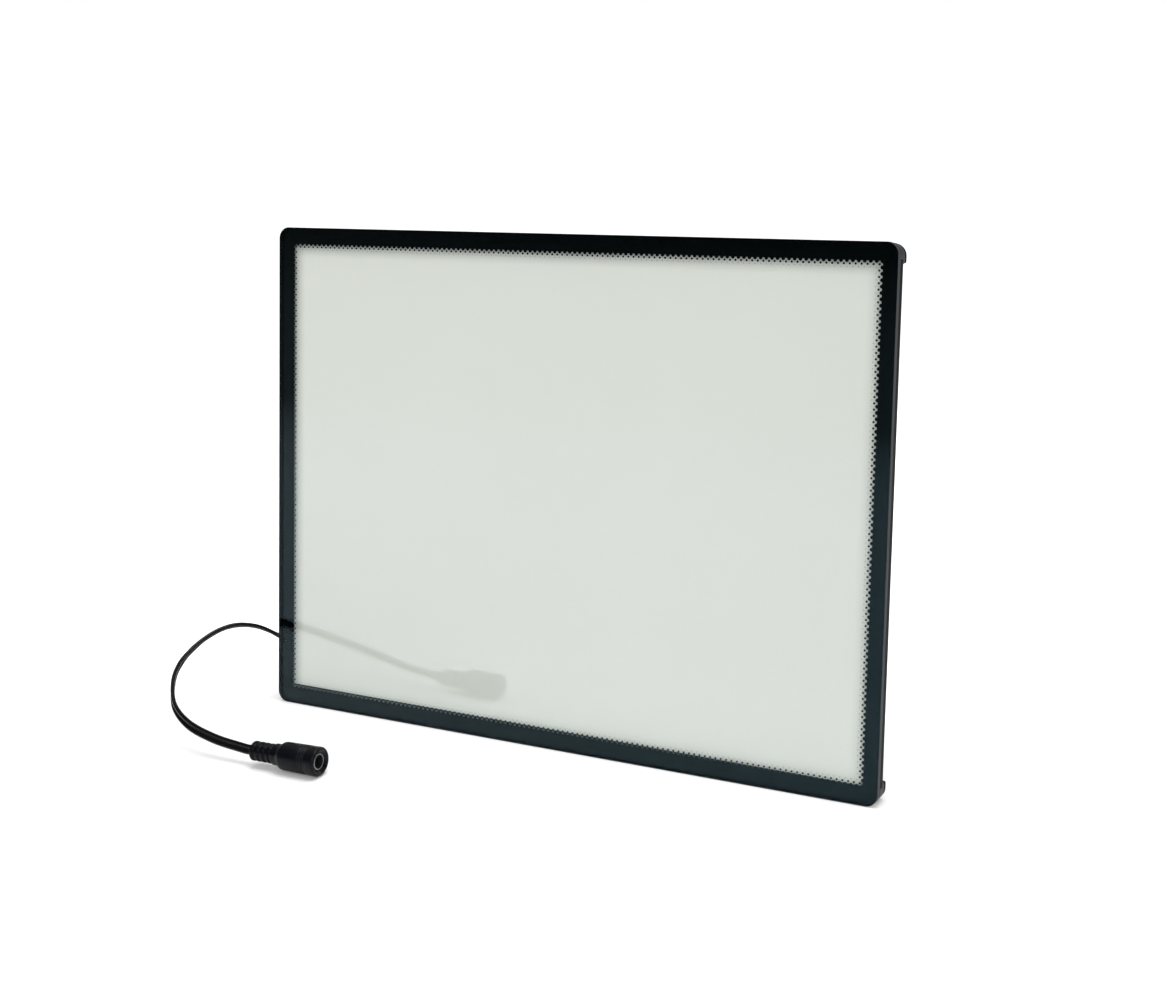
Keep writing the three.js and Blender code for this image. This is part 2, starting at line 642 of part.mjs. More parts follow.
function jackBody() {
  const tail = JACK_TAIL_DIAMETER / 2;
  const neck = JACK_NECK_DIAMETER / 2;
  const shoulder = JACK_BODY_DIAMETER / 2;
  const head = JACK_HEAD_DIAMETER / 2;
  const groove = tail - JACK_RIB_DEPTH;
  const ramp = JACK_RIB_RAMP * JACK_RIB_PITCH;
  const points = [[0, 0], [0, groove]];
  for (let i = 0; i < JACK_RIB_COUNT; i += 1) {
    const start = i * JACK_RIB_PITCH + ramp;
    const end = start + (JACK_RIB_SHARE - JACK_RIB_RAMP) * JACK_RIB_PITCH;
    points.push([start, tail], [end, tail], [end + ramp, groove]);
    points.push([(i + 1) * JACK_RIB_PITCH, groove]);
  }
  points.push([JACK_RIB_COUNT * JACK_RIB_PITCH + ramp, neck], [JACK_NECK_END, neck]);
  points.push([JACK_SHOULDER_END, shoulder]);
  const radiusAt = (along) => THREE.MathUtils.mapLinear(
    along, JACK_SHOULDER_END, JACK_LENGTH - JACK_EDGE_RADIUS, shoulder, head);
  for (let i = 0; i < JACK_RING_COUNT; i += 1) {
    const at = JACK_RING_AT + i * JACK_RING_PITCH;
    const bottom = at + JACK_RING_PITCH / 4;
    const end = at + JACK_RING_PITCH / 2;
    points.push([at, radiusAt(at)], [bottom, radiusAt(bottom) - JACK_RING_DEPTH]);
    points.push([end, radiusAt(end)]);
  }
  for (const angle of [0, Math.PI / 6, Math.PI / 3, Math.PI / 2]) {
    points.push([
      JACK_LENGTH - JACK_EDGE_RADIUS * (1 - Math.sin(angle)),
      head - JACK_EDGE_RADIUS * (1 - Math.cos(angle))
    ]);
  }
  const bore = SLEEVE_DIAMETER / 2 + SEAM;
  points.push([JACK_LENGTH, bore], [JACK_LENGTH - SOCKET_DEPTH, bore], [JACK_LENGTH - SOCKET_DEPTH, 0]);
  return turned(points, 28);
}
piece(jack, 'jack_body', jackBody(), MATERIALS.cord);

const sleeveStart = JACK_LENGTH - SOCKET_DEPTH + SEAM;
const sleeveEnd = JACK_LENGTH - SLEEVE_SET_BACK;
const sleeveOuter = SLEEVE_DIAMETER / 2;
const sleeveInner = sleeveOuter - SLEEVE_WALL;
piece(jack, 'jack_sleeve', turned([
  [sleeveStart, sleeveOuter], [sleeveEnd, sleeveOuter],
  [sleeveEnd, sleeveInner], [sleeveStart, sleeveInner], [sleeveStart, sleeveOuter]
], 24), MATERIALS.steel);

const insulatorEnd = sleeveStart + INSULATOR_THICKNESS;
const insulatorRadius = sleeveInner - SEAM;
piece(jack, 'jack_insulator', turned([
  [sleeveStart, 0], [sleeveStart, insulatorRadius], [insulatorEnd, insulatorRadius], [insulatorEnd, 0]
], 24), MATERIALS.cord);

const contactRadius = CONTACT_DIAMETER / 2;
const contactEnd = JACK_LENGTH - CONTACT_SET_BACK;
piece(jack, 'jack_contact', turned([
  [insulatorEnd + SEAM, 0], [insulatorEnd + SEAM, contactRadius],
  [contactEnd - contactRadius / 2, contactRadius], [contactEnd, contactRadius / 2], [contactEnd, 0]
], 16), MATERIALS.brass);

// Flat twin lead from the grommet round the panel's left edge to the socket's tail. The first two
// and the last two points follow the pieces it joins, and the rest is the route it lies in.

lightBox.updateMatrixWorld(true);
const leadX = grommetX - GROMMET_LENGTH - FIT;
const leadStart = panel.localToWorld(new THREE.Vector3(leadX, housingY, -grommetMiddle));
const leadEnd = jack.localToWorld(new THREE.Vector3(-FIT, 0, 0));

const LEAD_ROUTE = [
  [-147, -10, 24.5],
  [-158, -11, 29.5],
  [-165, -17, 34.6],
  [-170, -24, 36.9],
  [-173.5, -31, 37],
  [-176.5, -41, 34.6],
  [-177, -54, 30],
  [-174, -65, 25.8],
  [-168, -74.5, 21.6],
  [-158.5, -84, 16.6],
  [-146, -89.5, 12.2],
  [-130, -91, 8.6]
];

const leadPoints = [
  leadStart,
  leadStart.clone().add(new THREE.Vector3(-CORD_WIDTH, 0, 0)),
  ...LEAD_ROUTE.map(([x, y, z]) => new THREE.Vector3(x, y, z)),
  jack.localToWorld(new THREE.Vector3(-FIT - CORD_WIDTH, 0, 0)),
  leadEnd
];

// The middle of the route is a smooth curve, and both ends run straight for one cord width.
function leadPath() {
  const path = new THREE.CurvePath();
  const last = leadPoints.length - 1;
  const bend = new THREE.CatmullRomCurve3(leadPoints.slice(1, last), false, 'centripetal');
  path.add(new THREE.LineCurve3(leadPoints[0], leadPoints[1]));
  path.add(bend);
  path.add(new THREE.LineCurve3(leadPoints[last - 1], leadPoints[last]));
  return path;
}

function leadTube() {
  const outline = new THREE.Shape();
  outline.absellipse(0, 0, CORD_WIDTH / 2, CORD_THICKNESS / 2, 0, 2 * Math.PI, false, 0);
  const path = leadPath();
  return new THREE.ExtrudeGeometry(outline, {
    steps: Math.ceil(path.getLength() / CORD_STEP),
    curveSegments: 8,
    bevelEnabled: false,
    extrudePath: path
  });
}
piece(lightBox, 'power_lead', leadTube(), MATERIALS.cord);

export default lightBox;
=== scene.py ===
# %% [markdown]
# # A slim advertising light box
# The real object is a thin lit panel for an A4 sheet. A clear plate with a black border printed on
# its back stands in front of a white diffuser, a fold-out leg holds the panel up from behind, and a
# flat black lead runs round its left edge to a round power socket on the desk.
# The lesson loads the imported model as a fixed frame, adds what the solids leave out, such as the
# scalloped edge of the print, the twin cores of the lead and the rivets, and gives every piece a
# finish made of nodes. Sizes are in metres, and those of the lead's route and the socket in mm.

# %% Load the fixed frame
import math

import bmesh
import bpy
from mathutils import Matrix, Vector


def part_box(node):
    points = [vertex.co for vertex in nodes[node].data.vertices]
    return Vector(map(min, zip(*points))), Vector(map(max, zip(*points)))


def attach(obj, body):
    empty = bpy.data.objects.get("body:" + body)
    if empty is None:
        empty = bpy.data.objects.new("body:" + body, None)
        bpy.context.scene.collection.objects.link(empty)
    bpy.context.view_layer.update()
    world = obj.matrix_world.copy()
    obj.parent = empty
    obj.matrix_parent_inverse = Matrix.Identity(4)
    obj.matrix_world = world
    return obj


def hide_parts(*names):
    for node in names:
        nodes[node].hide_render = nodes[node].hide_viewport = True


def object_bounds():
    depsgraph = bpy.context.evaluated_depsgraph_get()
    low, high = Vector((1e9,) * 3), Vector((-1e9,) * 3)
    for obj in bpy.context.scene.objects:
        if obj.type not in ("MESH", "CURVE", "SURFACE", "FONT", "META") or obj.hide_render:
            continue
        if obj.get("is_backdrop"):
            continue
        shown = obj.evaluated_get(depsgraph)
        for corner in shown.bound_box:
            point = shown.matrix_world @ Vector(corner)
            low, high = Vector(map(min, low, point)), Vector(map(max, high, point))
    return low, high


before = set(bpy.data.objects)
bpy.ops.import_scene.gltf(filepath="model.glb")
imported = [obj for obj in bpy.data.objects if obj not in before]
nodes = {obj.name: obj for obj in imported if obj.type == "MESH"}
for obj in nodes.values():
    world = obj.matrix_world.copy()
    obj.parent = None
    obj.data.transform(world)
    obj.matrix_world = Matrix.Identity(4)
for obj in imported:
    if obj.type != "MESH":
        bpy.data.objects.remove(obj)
cad_box = [list(corner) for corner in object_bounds()]
MM = 0.001
print("CAD nodes:", len(nodes), "box:", [[round(v, 4) for v in corner] for corner in cad_box])

# %% [markdown]
# The panel leans back a little, so its pieces are easier to draw in the panel's own directions:
# x to the right, y up along the face, and depth counted backwards from the front face. One
# function brings such a point into the shared frame. The face's middle is read off the clear
# plate, so that the pieces made here can't drift away from the solids.

# %% The panel's own directions
LEAN = math.radians(4.5)
PANEL_WIDTH = 0.305
PANEL_HEIGHT = 0.228
PLATE_THICKNESS = 0.003

RIGHT = Vector((1, 0, 0))
UP = Vector((0, math.sin(LEAN), math.cos(LEAN)))
OUT = Vector((0, -math.cos(LEAN), math.sin(LEAN)))

plate_low, plate_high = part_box("cover_plate")
FACE_MIDDLE = (plate_low + plate_high) / 2 + OUT * (PLATE_THICKNESS / 2)


def on_panel(x, y, depth):
    """A point x to the right and y up from the face's middle, and depth behind the face."""
    return FACE_MIDDLE + RIGHT * x + UP * y - OUT * depth


print("middle of the face:", [round(v, 5) for v in FACE_MIDDLE])

# %% [markdown]
# The camera comes first, because the lead's points are printed where it sees them. The photograph
# was taken from the right and a little above with a short telephoto lens, and its middle lies off
# the lens's axis, which a small shift repeats. The four corners of the face, measured in the
# photograph, are printed beside where this camera sees them.

# %% Camera
PHOTO_WIDTH = 1167
PHOTO_HEIGHT = 988
FOCAL_PIXELS = 1692.8
AXIS_PIXEL = (650.0, 414.7)
CAMERA_AT = Vector((0.3669, -0.6361, 0.2761))
CAMERA_RIGHT = Vector((0.8910, 0.4539, -0.0112))
CAMERA_FORWARD = Vector((-0.4488, 0.8768, -0.1725))

camera_data = bpy.data.cameras.new("photo_camera")
camera_data.sensor_fit = "HORIZONTAL"
camera_data.sensor_width = 36
camera_data.lens = FOCAL_PIXELS * camera_data.sensor_width / PHOTO_WIDTH
camera_data.shift_x = (PHOTO_WIDTH / 2 - AXIS_PIXEL[0]) / PHOTO_WIDTH
camera_data.shift_y = (AXIS_PIXEL[1] - PHOTO_HEIGHT / 2) / PHOTO_WIDTH
camera_data.clip_start = 0.02
camera_data.clip_end = 30
camera = bpy.data.objects.new("photo_camera", camera_data)
bpy.context.scene.collection.objects.link(camera)
bpy.context.scene.camera = camera

back = -CAMERA_FORWARD.normalized()
side = (CAMERA_RIGHT - back * CAMERA_RIGHT.dot(back)).normalized()
above = back.cross(side)
turn = Matrix((side, above, back)).transposed().to_4x4()
camera.matrix_world = Matrix.Translation(CAMERA_AT) @ turn


def pixel_of(point):
    """Where the camera sees a point, in the photograph's pixels."""
    seen = point - CAMERA_AT
    depth = -seen.dot(back)
    return (
        round(AXIS_PIXEL[0] + FOCAL_PIXELS * seen.dot(side) / depth, 1),
        round(AXIS_PIXEL[1] - FOCAL_PIXELS * seen.dot(above) / depth, 1),
    )


PHOTO_CORNERS = {
    (-1, 1): (279.5, 227.0),
    (1, 1): (899.3, 241.6),
    (1, -1): (877.0, 808.7),
    (-1, -1): (278.8, 700.0),
}
for (x, y), measured in PHOTO_CORNERS.items():
    corner = on_panel(x * PANEL_WIDTH / 2, y * PANEL_HEIGHT / 2, 0)
    print("corner", (x, y), "camera", pixel_of(corner), "photograph", measured)

# %% [markdown]
# Every piece is made the same way: a mesh whose points are already in the shared frame, on an
# object that stays at the origin. Where modifiers finish a piece, their result becomes its plain
# mesh at once, so that nothing is left to change later.

# %% Helpers: make, settle and paint a piece


def make_piece(name, points, faces, material, smooth=False):
    """An object at the origin from points in the shared frame."""
    mesh = bpy.data.meshes.new(name)
    mesh.from_pydata([tuple(p) for p in points], [], faces)
    mesh.update()
    piece = bpy.data.objects.new(name, mesh)
    bpy.context.scene.collection.objects.link(piece)
    if material is not None:
        mesh.materials.append(material)
    mesh.polygons.foreach_set("use_smooth", [smooth] * len(mesh.polygons))
    return piece


def settle(piece):
    """Turns what a piece's modifiers make into its plain mesh and removes them."""
    bpy.context.view_layer.update()
    evaluated = piece.evaluated_get(bpy.context.evaluated_depsgraph_get())
    made = bpy.data.meshes.new_from_object(evaluated)
    piece.modifiers.clear()
    piece.data = made
    made.name = piece.name
    return piece


def paint(piece, material):
    """Gives the whole piece one material."""
    piece.data.materials.clear()
    piece.data.materials.append(material)
    return piece


# %% [markdown]
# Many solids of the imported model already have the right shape, and only their edges are too sharp.
# A real edge is always a little round and catches a line of light. So such a piece is a copy of
# its solid: the loose triangles are merged, flat faces are joined, and a Bevel modifier rounds what
# is sharper than the limit.

# %% Helpers: rounded copies of solids
SHARP_FROM = math.radians(35)
FLAT_UNDER = math.radians(1)
MERGE_WITHIN = 1e-6
ROUND_SEGMENTS = 2


def round_edges(piece, width):
    """Rounds a piece's sharp edges, as a mould or a polishing wheel leaves them."""
    bevel = piece.modifiers.new("rounding", "BEVEL")
    bevel.width = width
    bevel.segments = ROUND_SEGMENTS
    bevel.limit_method = "ANGLE"
    bevel.angle_limit = SHARP_FROM
    bevel.use_clamp_overlap = True
    piece.data.polygons.foreach_set("use_smooth", [True] * len(piece.data.polygons))
    weighted = piece.modifiers.new("shading", "WEIGHTED_NORMAL")
    weighted.keep_sharp = True
    return settle(piece)


def copy_of_node(node, name, width):
    """A piece with a solid's own shape and rounded edges, which stands for that solid."""
    mesh = nodes[node].data.copy()
    work = bmesh.new()
    work.from_mesh(mesh)
    bmesh.ops.remove_doubles(work, verts=work.verts, dist=MERGE_WITHIN)
    bmesh.ops.dissolve_limit(work, angle_limit=FLAT_UNDER, verts=work.verts, edges=work.edges)
    work.to_mesh(mesh)
    work.free()
    mesh.name = name
    for layer in list(mesh.uv_layers):
        mesh.uv_layers.remove(layer)
    piece = bpy.data.objects.new(name, mesh)
    bpy.context.scene.collection.objects.link(piece)
    round_edges(piece, width)
    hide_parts(node)
    return piece


print("edges sharper than", round(math.degrees(SHARP_FROM)), "degrees get rounded")

# %% [markdown]
# ## The lead's route
# The lead leaves a grommet behind the lower left edge, arches outwards and comes down to the desk
# in front, where it ends in the socket's tail. Its picture in the photograph and its mirror image
# in the plate give this route point by point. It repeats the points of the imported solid: straight
# for one lead width at both ends, and a smooth curve through the rest.

# %% The lead's centreline
LEAD_WIDTH = 0.0038
LEAD_EXIT_GAP = 0.0003
LEAD_STEPS = 12
SOCKET_TAIL = Vector((-0.1078, -0.0908, 0.0067))
SOCKET_TURN = math.radians(2.5)
SOCKET_ALONG = Vector((math.cos(SOCKET_TURN), math.sin(SOCKET_TURN), 0))

LEAD_ROUTE_MM = [
    (-147, -10, 24.5),
    (-158, -11, 29.5),
    (-165, -17, 34.6),
    (-170, -24, 36.9),
    (-173.5, -31, 37),
    (-176.5, -41, 34.6),
    (-177, -54, 30),
    (-174, -65, 25.8),
    (-168, -74.5, 21.6),
    (-158.5, -84, 16.6),
    (-146, -89.5, 12.2),
    (-130, -91, 8.6),
]

grommet_low, grommet_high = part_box("lead_grommet")
grommet_middle = (grommet_low + grommet_high) / 2
lead_start = Vector((grommet_low.x - LEAD_EXIT_GAP, grommet_middle.y, grommet_middle.z))
lead_end = SOCKET_TAIL - SOCKET_ALONG * LEAD_EXIT_GAP

bend_points = (
    [lead_start - RIGHT * LEAD_WIDTH]
    + [Vector(p) * MM for p in LEAD_ROUTE_MM]
    + [lead_end - SOCKET_ALONG * LEAD_WIDTH]
)


def smooth_through(points, steps):
    """Points on a centripetal curve through the given ones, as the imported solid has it."""
    ends = [2 * points[0] - points[1]] + points + [2 * points[-1] - points[-2]]
    made = []
    for a, b, c, d in zip(ends, ends[1:], ends[2:], ends[3:]):
        t0 = 0.0
        t1 = t0 + (b - a).length ** 0.5
        t2 = t1 + (c - b).length ** 0.5
        t3 = t2 + (d - c).length ** 0.5
        for step in range(steps):
            t = t1 + (t2 - t1) * step / steps
            ab = a.lerp(b, (t - t0) / (t1 - t0))
            bc = b.lerp(c, (t - t1) / (t2 - t1))
            cd = c.lerp(d, (t - t2) / (t3 - t2))
            abc = ab.lerp(bc, (t - t0) / (t2 - t0))
            bcd = bc.lerp(cd, (t - t1) / (t3 - t1))
            made.append(abc.lerp(bcd, (t - t1) / (t2 - t1)))
    return made + [points[-1]]


lead_line = [lead_start] + smooth_through(bend_points, LEAD_STEPS) + [lead_end]
for share in (0.1, 0.3, 0.5, 0.7, 0.9):
    point = lead_line[int(share * (len(lead_line) - 1))]
    print("lead at", share, "is seen at", pixel_of(point))

# %% [markdown]
# ## Effects that several finishes share
# A node group is built once and placed in many materials, each time with its own values. These
# groups give out only masks and heights. A few helpers make the nodes that all of them need, from
# numbers or from other nodes' outputs, so the wiring reads like a sum.

# %% Helpers for shader nodes
NOISE_ROUGHNESS = 0.55


def new_group(name, inputs, outputs):
    """An empty shader group with named sockets. Inputs are (name, kind, value)."""
    tree = bpy.data.node_groups.new(name, "ShaderNodeTree")
    for label, kind, value in inputs:
        socket = tree.interface.new_socket(label, in_out="INPUT", socket_type=kind)
        socket.default_value = value
    for label, kind in outputs:
        tree.interface.new_socket(label, in_out="OUTPUT", socket_type=kind)
    start = tree.nodes.new("NodeGroupInput")
    end = tree.nodes.new("NodeGroupOutput")
    return tree, start, end


def connect(tree, value, socket):
    """Links a socket, or sets a plain value."""
    if isinstance(value, bpy.types.NodeSocket):
        tree.links.new(value, socket)
    else:
        socket.default_value = value


def math_node(tree, operation, first, second, clamp=False):
    """A Math node from sockets or numbers, returning its output."""
    node = tree.nodes.new("ShaderNodeMath")
    node.operation = operation
    node.use_clamp = clamp
    connect(tree, first, node.inputs[0])
    connect(tree, second, node.inputs[1])
    return node.outputs[0]


def range_node(tree, value, low, high, to_low, to_high, smooth=True):
    """A Map Range node, returning its output. A bound may be a number or a socket."""
    node = tree.nodes.new("ShaderNodeMapRange")
    node.interpolation_type = "SMOOTHSTEP" if smooth else "LINEAR"
    tree.links.new(value, node.inputs["Value"])
    names = ("From Min", "From Max", "To Min", "To Max")
    for label, bound in zip(names, (low, high, to_low, to_high)):
        connect(tree, bound, node.inputs[label])
    return node.outputs[0]


def noise_node(tree, place, scale, detail):
    """A Noise Texture at a place, returning its factor."""
    node = tree.nodes.new("ShaderNodeTexNoise")
    tree.links.new(place, node.inputs["Vector"])
    connect(tree, scale, node.inputs["Scale"])
    node.inputs["Detail"].default_value = detail
    node.inputs["Roughness"].default_value = NOISE_ROUGHNESS
    return node.outputs["Fac"]


print("noise roughness:", NOISE_ROUGHNESS)

# %% [markdown]
# The first group makes the fine grain of a moulded or coated surface, and the broad clouds that
# keep a colour from looking flat. Both read Object coordinates, which are metres here, so a scale
# of 2500 gives a grain of about 0.4 mm.

# %% Group: surface grain
CLOUD_EDGES = (0.3, 0.7)

grain_group, start, end = new_group(
    "Surface Grain",
    [
        ("Grain Scale", "NodeSocketFloat", 2500.0),
        ("Cloud Scale", "NodeSocketFloat", 45.0),
    ],
    [("Grain", "NodeSocketFloat"), ("Clouds", "NodeSocketFloat")],
)
place = grain_group.nodes.new("ShaderNodeTexCoord").outputs["Object"]
fine = noise_node(grain_group, place, start.outputs["Grain Scale"], 3)
broad = noise_node(grain_group, place, start.outputs["Cloud Scale"], 4)
grain_group.links.new(fine, end.inputs["Grain"])
grain_group.links.new(range_node(grain_group, broad, *CLOUD_EDGES, 0.0, 1.0), end.inputs["Clouds"])
print("group:", grain_group.name)

# %% [markdown]
# Handling rubs the edges of plastic and paint first. A Bevel node gives the normal that a rounded
# edge would have, and where it differs from the true one, there is an edge. Noise breaks the line
# up, because wear is never even.

# %% Group: edge wear
LIKENESS_AT_EDGE = (0.99, 0.86)
WORN_PATCHES = (0.42, 0.62)

wear_group, start, end = new_group(
    "Edge Wear",
    [
        ("Edge Width", "NodeSocketFloat", 0.0004),
        ("Amount", "NodeSocketFloat", 0.5),
        ("Patch Scale", "NodeSocketFloat", 300.0),
    ],
    [("Worn", "NodeSocketFloat")],
)
bevel = wear_group.nodes.new("ShaderNodeBevel")
bevel.samples = 4
wear_group.links.new(start.outputs["Edge Width"], bevel.inputs["Radius"])
geometry = wear_group.nodes.new("ShaderNodeNewGeometry")
likeness = wear_group.nodes.new("ShaderNodeVectorMath")
likeness.operation = "DOT_PRODUCT"
wear_group.links.new(bevel.outputs["Normal"], likeness.inputs[0])
wear_group.links.new(geometry.outputs["Normal"], likeness.inputs[1])
edge = range_node(wear_group, likeness.outputs["Value"], *LIKENESS_AT_EDGE, 0.0, 1.0)
place = wear_group.nodes.new("ShaderNodeTexCoord").outputs["Object"]
patches = noise_node(wear_group, place, start.outputs["Patch Scale"], 3)
broken = range_node(wear_group, patches, *WORN_PATCHES, 0.0, 1.0)
worn = math_node(wear_group, "MULTIPLY", edge, broken)
worn = math_node(wear_group, "MULTIPLY", worn, start.outputs["Amount"], clamp=True)
wear_group.links.new(worn, end.inputs["Worn"])
print("group:", wear_group.name)

# %% [markdown]
# Dust settles on what faces up, thinly and unevenly. The group reads the normal's upward part and
# breaks it up with two noises, a broad one for drifts and a fine one for single specks.

# %% Group: settled dust
UPWARD_FROM = 0.2
DRIFT_SCALE = 60.0
DRIFT_EDGES = (0.35, 0.7)
THINNEST_DRIFT = 0.2
SPECK_EDGES = (0.5, 0.75)

dust_group, start, end = new_group(
    "Settled Dust",
    [("Amount", "NodeSocketFloat", 0.2), ("Speck Scale", "NodeSocketFloat", 1800.0)],
    [("Dust", "NodeSocketFloat")],
)
geometry = dust_group.nodes.new("ShaderNodeNewGeometry")
parts = dust_group.nodes.new("ShaderNodeSeparateXYZ")
dust_group.links.new(geometry.outputs["Normal"], parts.inputs[0])
upward = range_node(dust_group, parts.outputs["Z"], UPWARD_FROM, 1.0, 0.0, 1.0)
place = dust_group.nodes.new("ShaderNodeTexCoord").outputs["Object"]
drifts = noise_node(dust_group, place, DRIFT_SCALE, 3)
drifts = range_node(dust_group, drifts, *DRIFT_EDGES, THINNEST_DRIFT, 1.0)
specks = noise_node(dust_group, place, start.outputs["Speck Scale"], 2)
specks = range_node(dust_group, specks, *SPECK_EDGES, 0.0, 1.0)
both = math_node(dust_group, "MULTIPLY", drifts, specks)
both = math_node(dust_group, "MULTIPLY", both, upward)
both = math_node(dust_group, "MULTIPLY", both, start.outputs["Amount"], clamp=True)
dust_group.links.new(both, end.inputs["Dust"])
print("group:", dust_group.name)

# %% [markdown]
# ## A finish from the shared effects
# Most surfaces of this object are a colour with clouds, a grain, slightly rubbed edges and a trace
# of dust. One function wires these into a Principled shader. The numbers that are the same all
# over a surface go straight into the shader's own sockets.

# %% Helpers for finishes
DUST_COLOUR = (0.42, 0.41, 0.39)
DUST_DULLS_BY = 0.35


def group_in(tree, group, values):
    """Places a shader group in a material and sets its inputs."""
    node = tree.nodes.new("ShaderNodeGroup")
    node.node_tree = group
    for label, value in values.items():
        node.inputs[label].default_value = value
    return node


def mix_colours(tree, share, first, second):
    """Mixes two colours, each a socket or a plain colour, and returns the output."""
    node = tree.nodes.new("ShaderNodeMix")
    node.data_type = "RGBA"
    tree.links.new(share, node.inputs["Factor"])
    for label, colour in (("A", first), ("B", second)):
        socket = [s for s in node.inputs if s.name == label and s.type == "RGBA"][0]
        if isinstance(colour, tuple):
            socket.default_value = (*colour, 1)
        else:
            tree.links.new(colour, socket)
    return [s for s in node.outputs if s.type == "RGBA"][0]


def bump_from(tree, height, strength, distance):
    """A Bump node driven by a height, returning its normal."""
    node = tree.nodes.new("ShaderNodeBump")
    node.inputs["Strength"].default_value = strength
    node.inputs["Distance"].default_value = distance
    tree.links.new(height, node.inputs["Height"])
    return node.outputs["Normal"]


def finish(
    name,
    dark,
    light,
    worn_colour,
    rough=(0.4, 0.5),
    grain=2500.0,
    depth=0.00004,
    strength=0.3,
    wear=0.4,
    wear_width=0.0004,
    dust=0.1,
    metal=0.0,
    gloss=0.5,
):
    """A material with clouds of two colours, grain, worn edges and dust."""
    material = bpy.data.materials.new(name)
    material.use_nodes = True
    tree = material.node_tree
    shader = tree.nodes["Principled BSDF"]
    shader.inputs["Metallic"].default_value = metal
    shader.inputs["Specular IOR Level"].default_value = gloss
    look = group_in(tree, grain_group, {"Grain Scale": grain})
    edges = group_in(tree, wear_group, {"Amount": wear, "Edge Width": wear_width})
    settled = group_in(tree, dust_group, {"Amount": dust})
    colour = mix_colours(tree, look.outputs["Clouds"], dark, light)
    colour = mix_colours(tree, edges.outputs["Worn"], colour, worn_colour)
    colour = mix_colours(tree, settled.outputs["Dust"], colour, DUST_COLOUR)
    tree.links.new(colour, shader.inputs["Base Color"])
    roughness = range_node(tree, look.outputs["Clouds"], 0.0, 1.0, *rough, False)
    dulled = math_node(tree, "MULTIPLY", settled.outputs["Dust"], DUST_DULLS_BY)
    roughness = math_node(tree, "ADD", roughness, dulled, clamp=True)
    tree.links.new(roughness, shader.inputs["Roughness"])
    normal = bump_from(tree, look.outputs["Grain"], strength, depth)
    tree.links.new(normal, shader.inputs["Normal"])
    return material


print("dust colour:", DUST_COLOUR)

# %% [markdown]
# The blocks, pads and rails round the panel are moulded or extruded and nearly black. A low gloss
# matters most on them: their sides are seen at a flat angle, where a glossy surface would mirror
# the pale floor and turn grey, which they don't do in the photograph.

# %% Finishes: plastics and rubber
black_plastic = finish(
    "Moulded black plastic", (0.012, 0.013, 0.014), (0.020, 0.021, 0.023), (0.07, 0.07, 0.07)
)
block_plastic = finish(
    "Corner block plastic",
    (0.040, 0.042, 0.043),
    (0.055, 0.057, 0.057),
    (0.14, 0.14, 0.14),
    rough=(0.30, 0.38),
    wear=0.3,
    gloss=0.06,
)
rubber = finish(
    "Black rubber",
    (0.008, 0.008, 0.009),
    (0.016, 0.016, 0.016),
    (0.05, 0.05, 0.05),
    rough=(0.72, 0.88),
    grain=1600.0,
    depth=0.00008,
    dust=0.08,
    gloss=0.01,
)
rail_black = finish(
    "Extruded black rail",
    (0.0050, 0.0055, 0.0060),
    (0.0085, 0.0090, 0.0095),
    (0.04, 0.04, 0.04),
    rough=(0.36, 0.44),
    wear=0.15,
    dust=0.03,
    gloss=0.02,
)
print("finishes for the rim:", [m.name for m in (block_plastic, rubber, rail_black)])

# %% [markdown]
# The back of such a panel is a thin grained black sheet, and the leg and its bracket are powder
# coated steel. Their grain is coarser and deeper than a moulded one. The sheets inside are plain
# white, one black finish is the painted shade of the strip behind the border, and one red finish
# serves the wire.

# %% Finishes: coated steel, sheets and wire
powder_coat = finish(
    "Black powder coat",
    (0.010, 0.011, 0.012),
    (0.017, 0.018, 0.019),
    (0.19, 0.19, 0.19),
    rough=(0.42, 0.52),
    grain=900.0,
    depth=0.00012,
    strength=0.4,
    wear=0.35,
)
back_black = finish(
    "Grained black sheet",
    (0.012, 0.012, 0.013),
    (0.022, 0.022, 0.024),
    (0.08, 0.08, 0.08),
    rough=(0.5, 0.62),
    grain=1300.0,
    depth=0.00015,
    strength=0.5,
)
board_white = finish(
    "White board", (0.70, 0.71, 0.68), (0.78, 0.79, 0.75), (0.6, 0.5, 0.3), rough=(0.35, 0.45)
)
film_white = finish(
    "White film",
    (0.80, 0.81, 0.80),
    (0.86, 0.87, 0.86),
    (0.8, 0.8, 0.8),
    rough=(0.4, 0.5),
    dust=0.0,
)
wire_red = finish(
    "Red wire", (0.36, 0.012, 0.012), (0.46, 0.02, 0.018), (0.5, 0.1, 0.1), rough=(0.32, 0.42)
)
# Painted shade: this black strip stands for the shade on the film behind the border's edge.
shade_strip_black = finish(
    "Black edge tape",
    (0.010, 0.011, 0.011),
    (0.018, 0.019, 0.019),
    (0.03, 0.03, 0.03),
    rough=(0.55, 0.65),
    grain=1800.0,
    dust=0.0,
)
print("finishes so far:", len(bpy.data.materials))
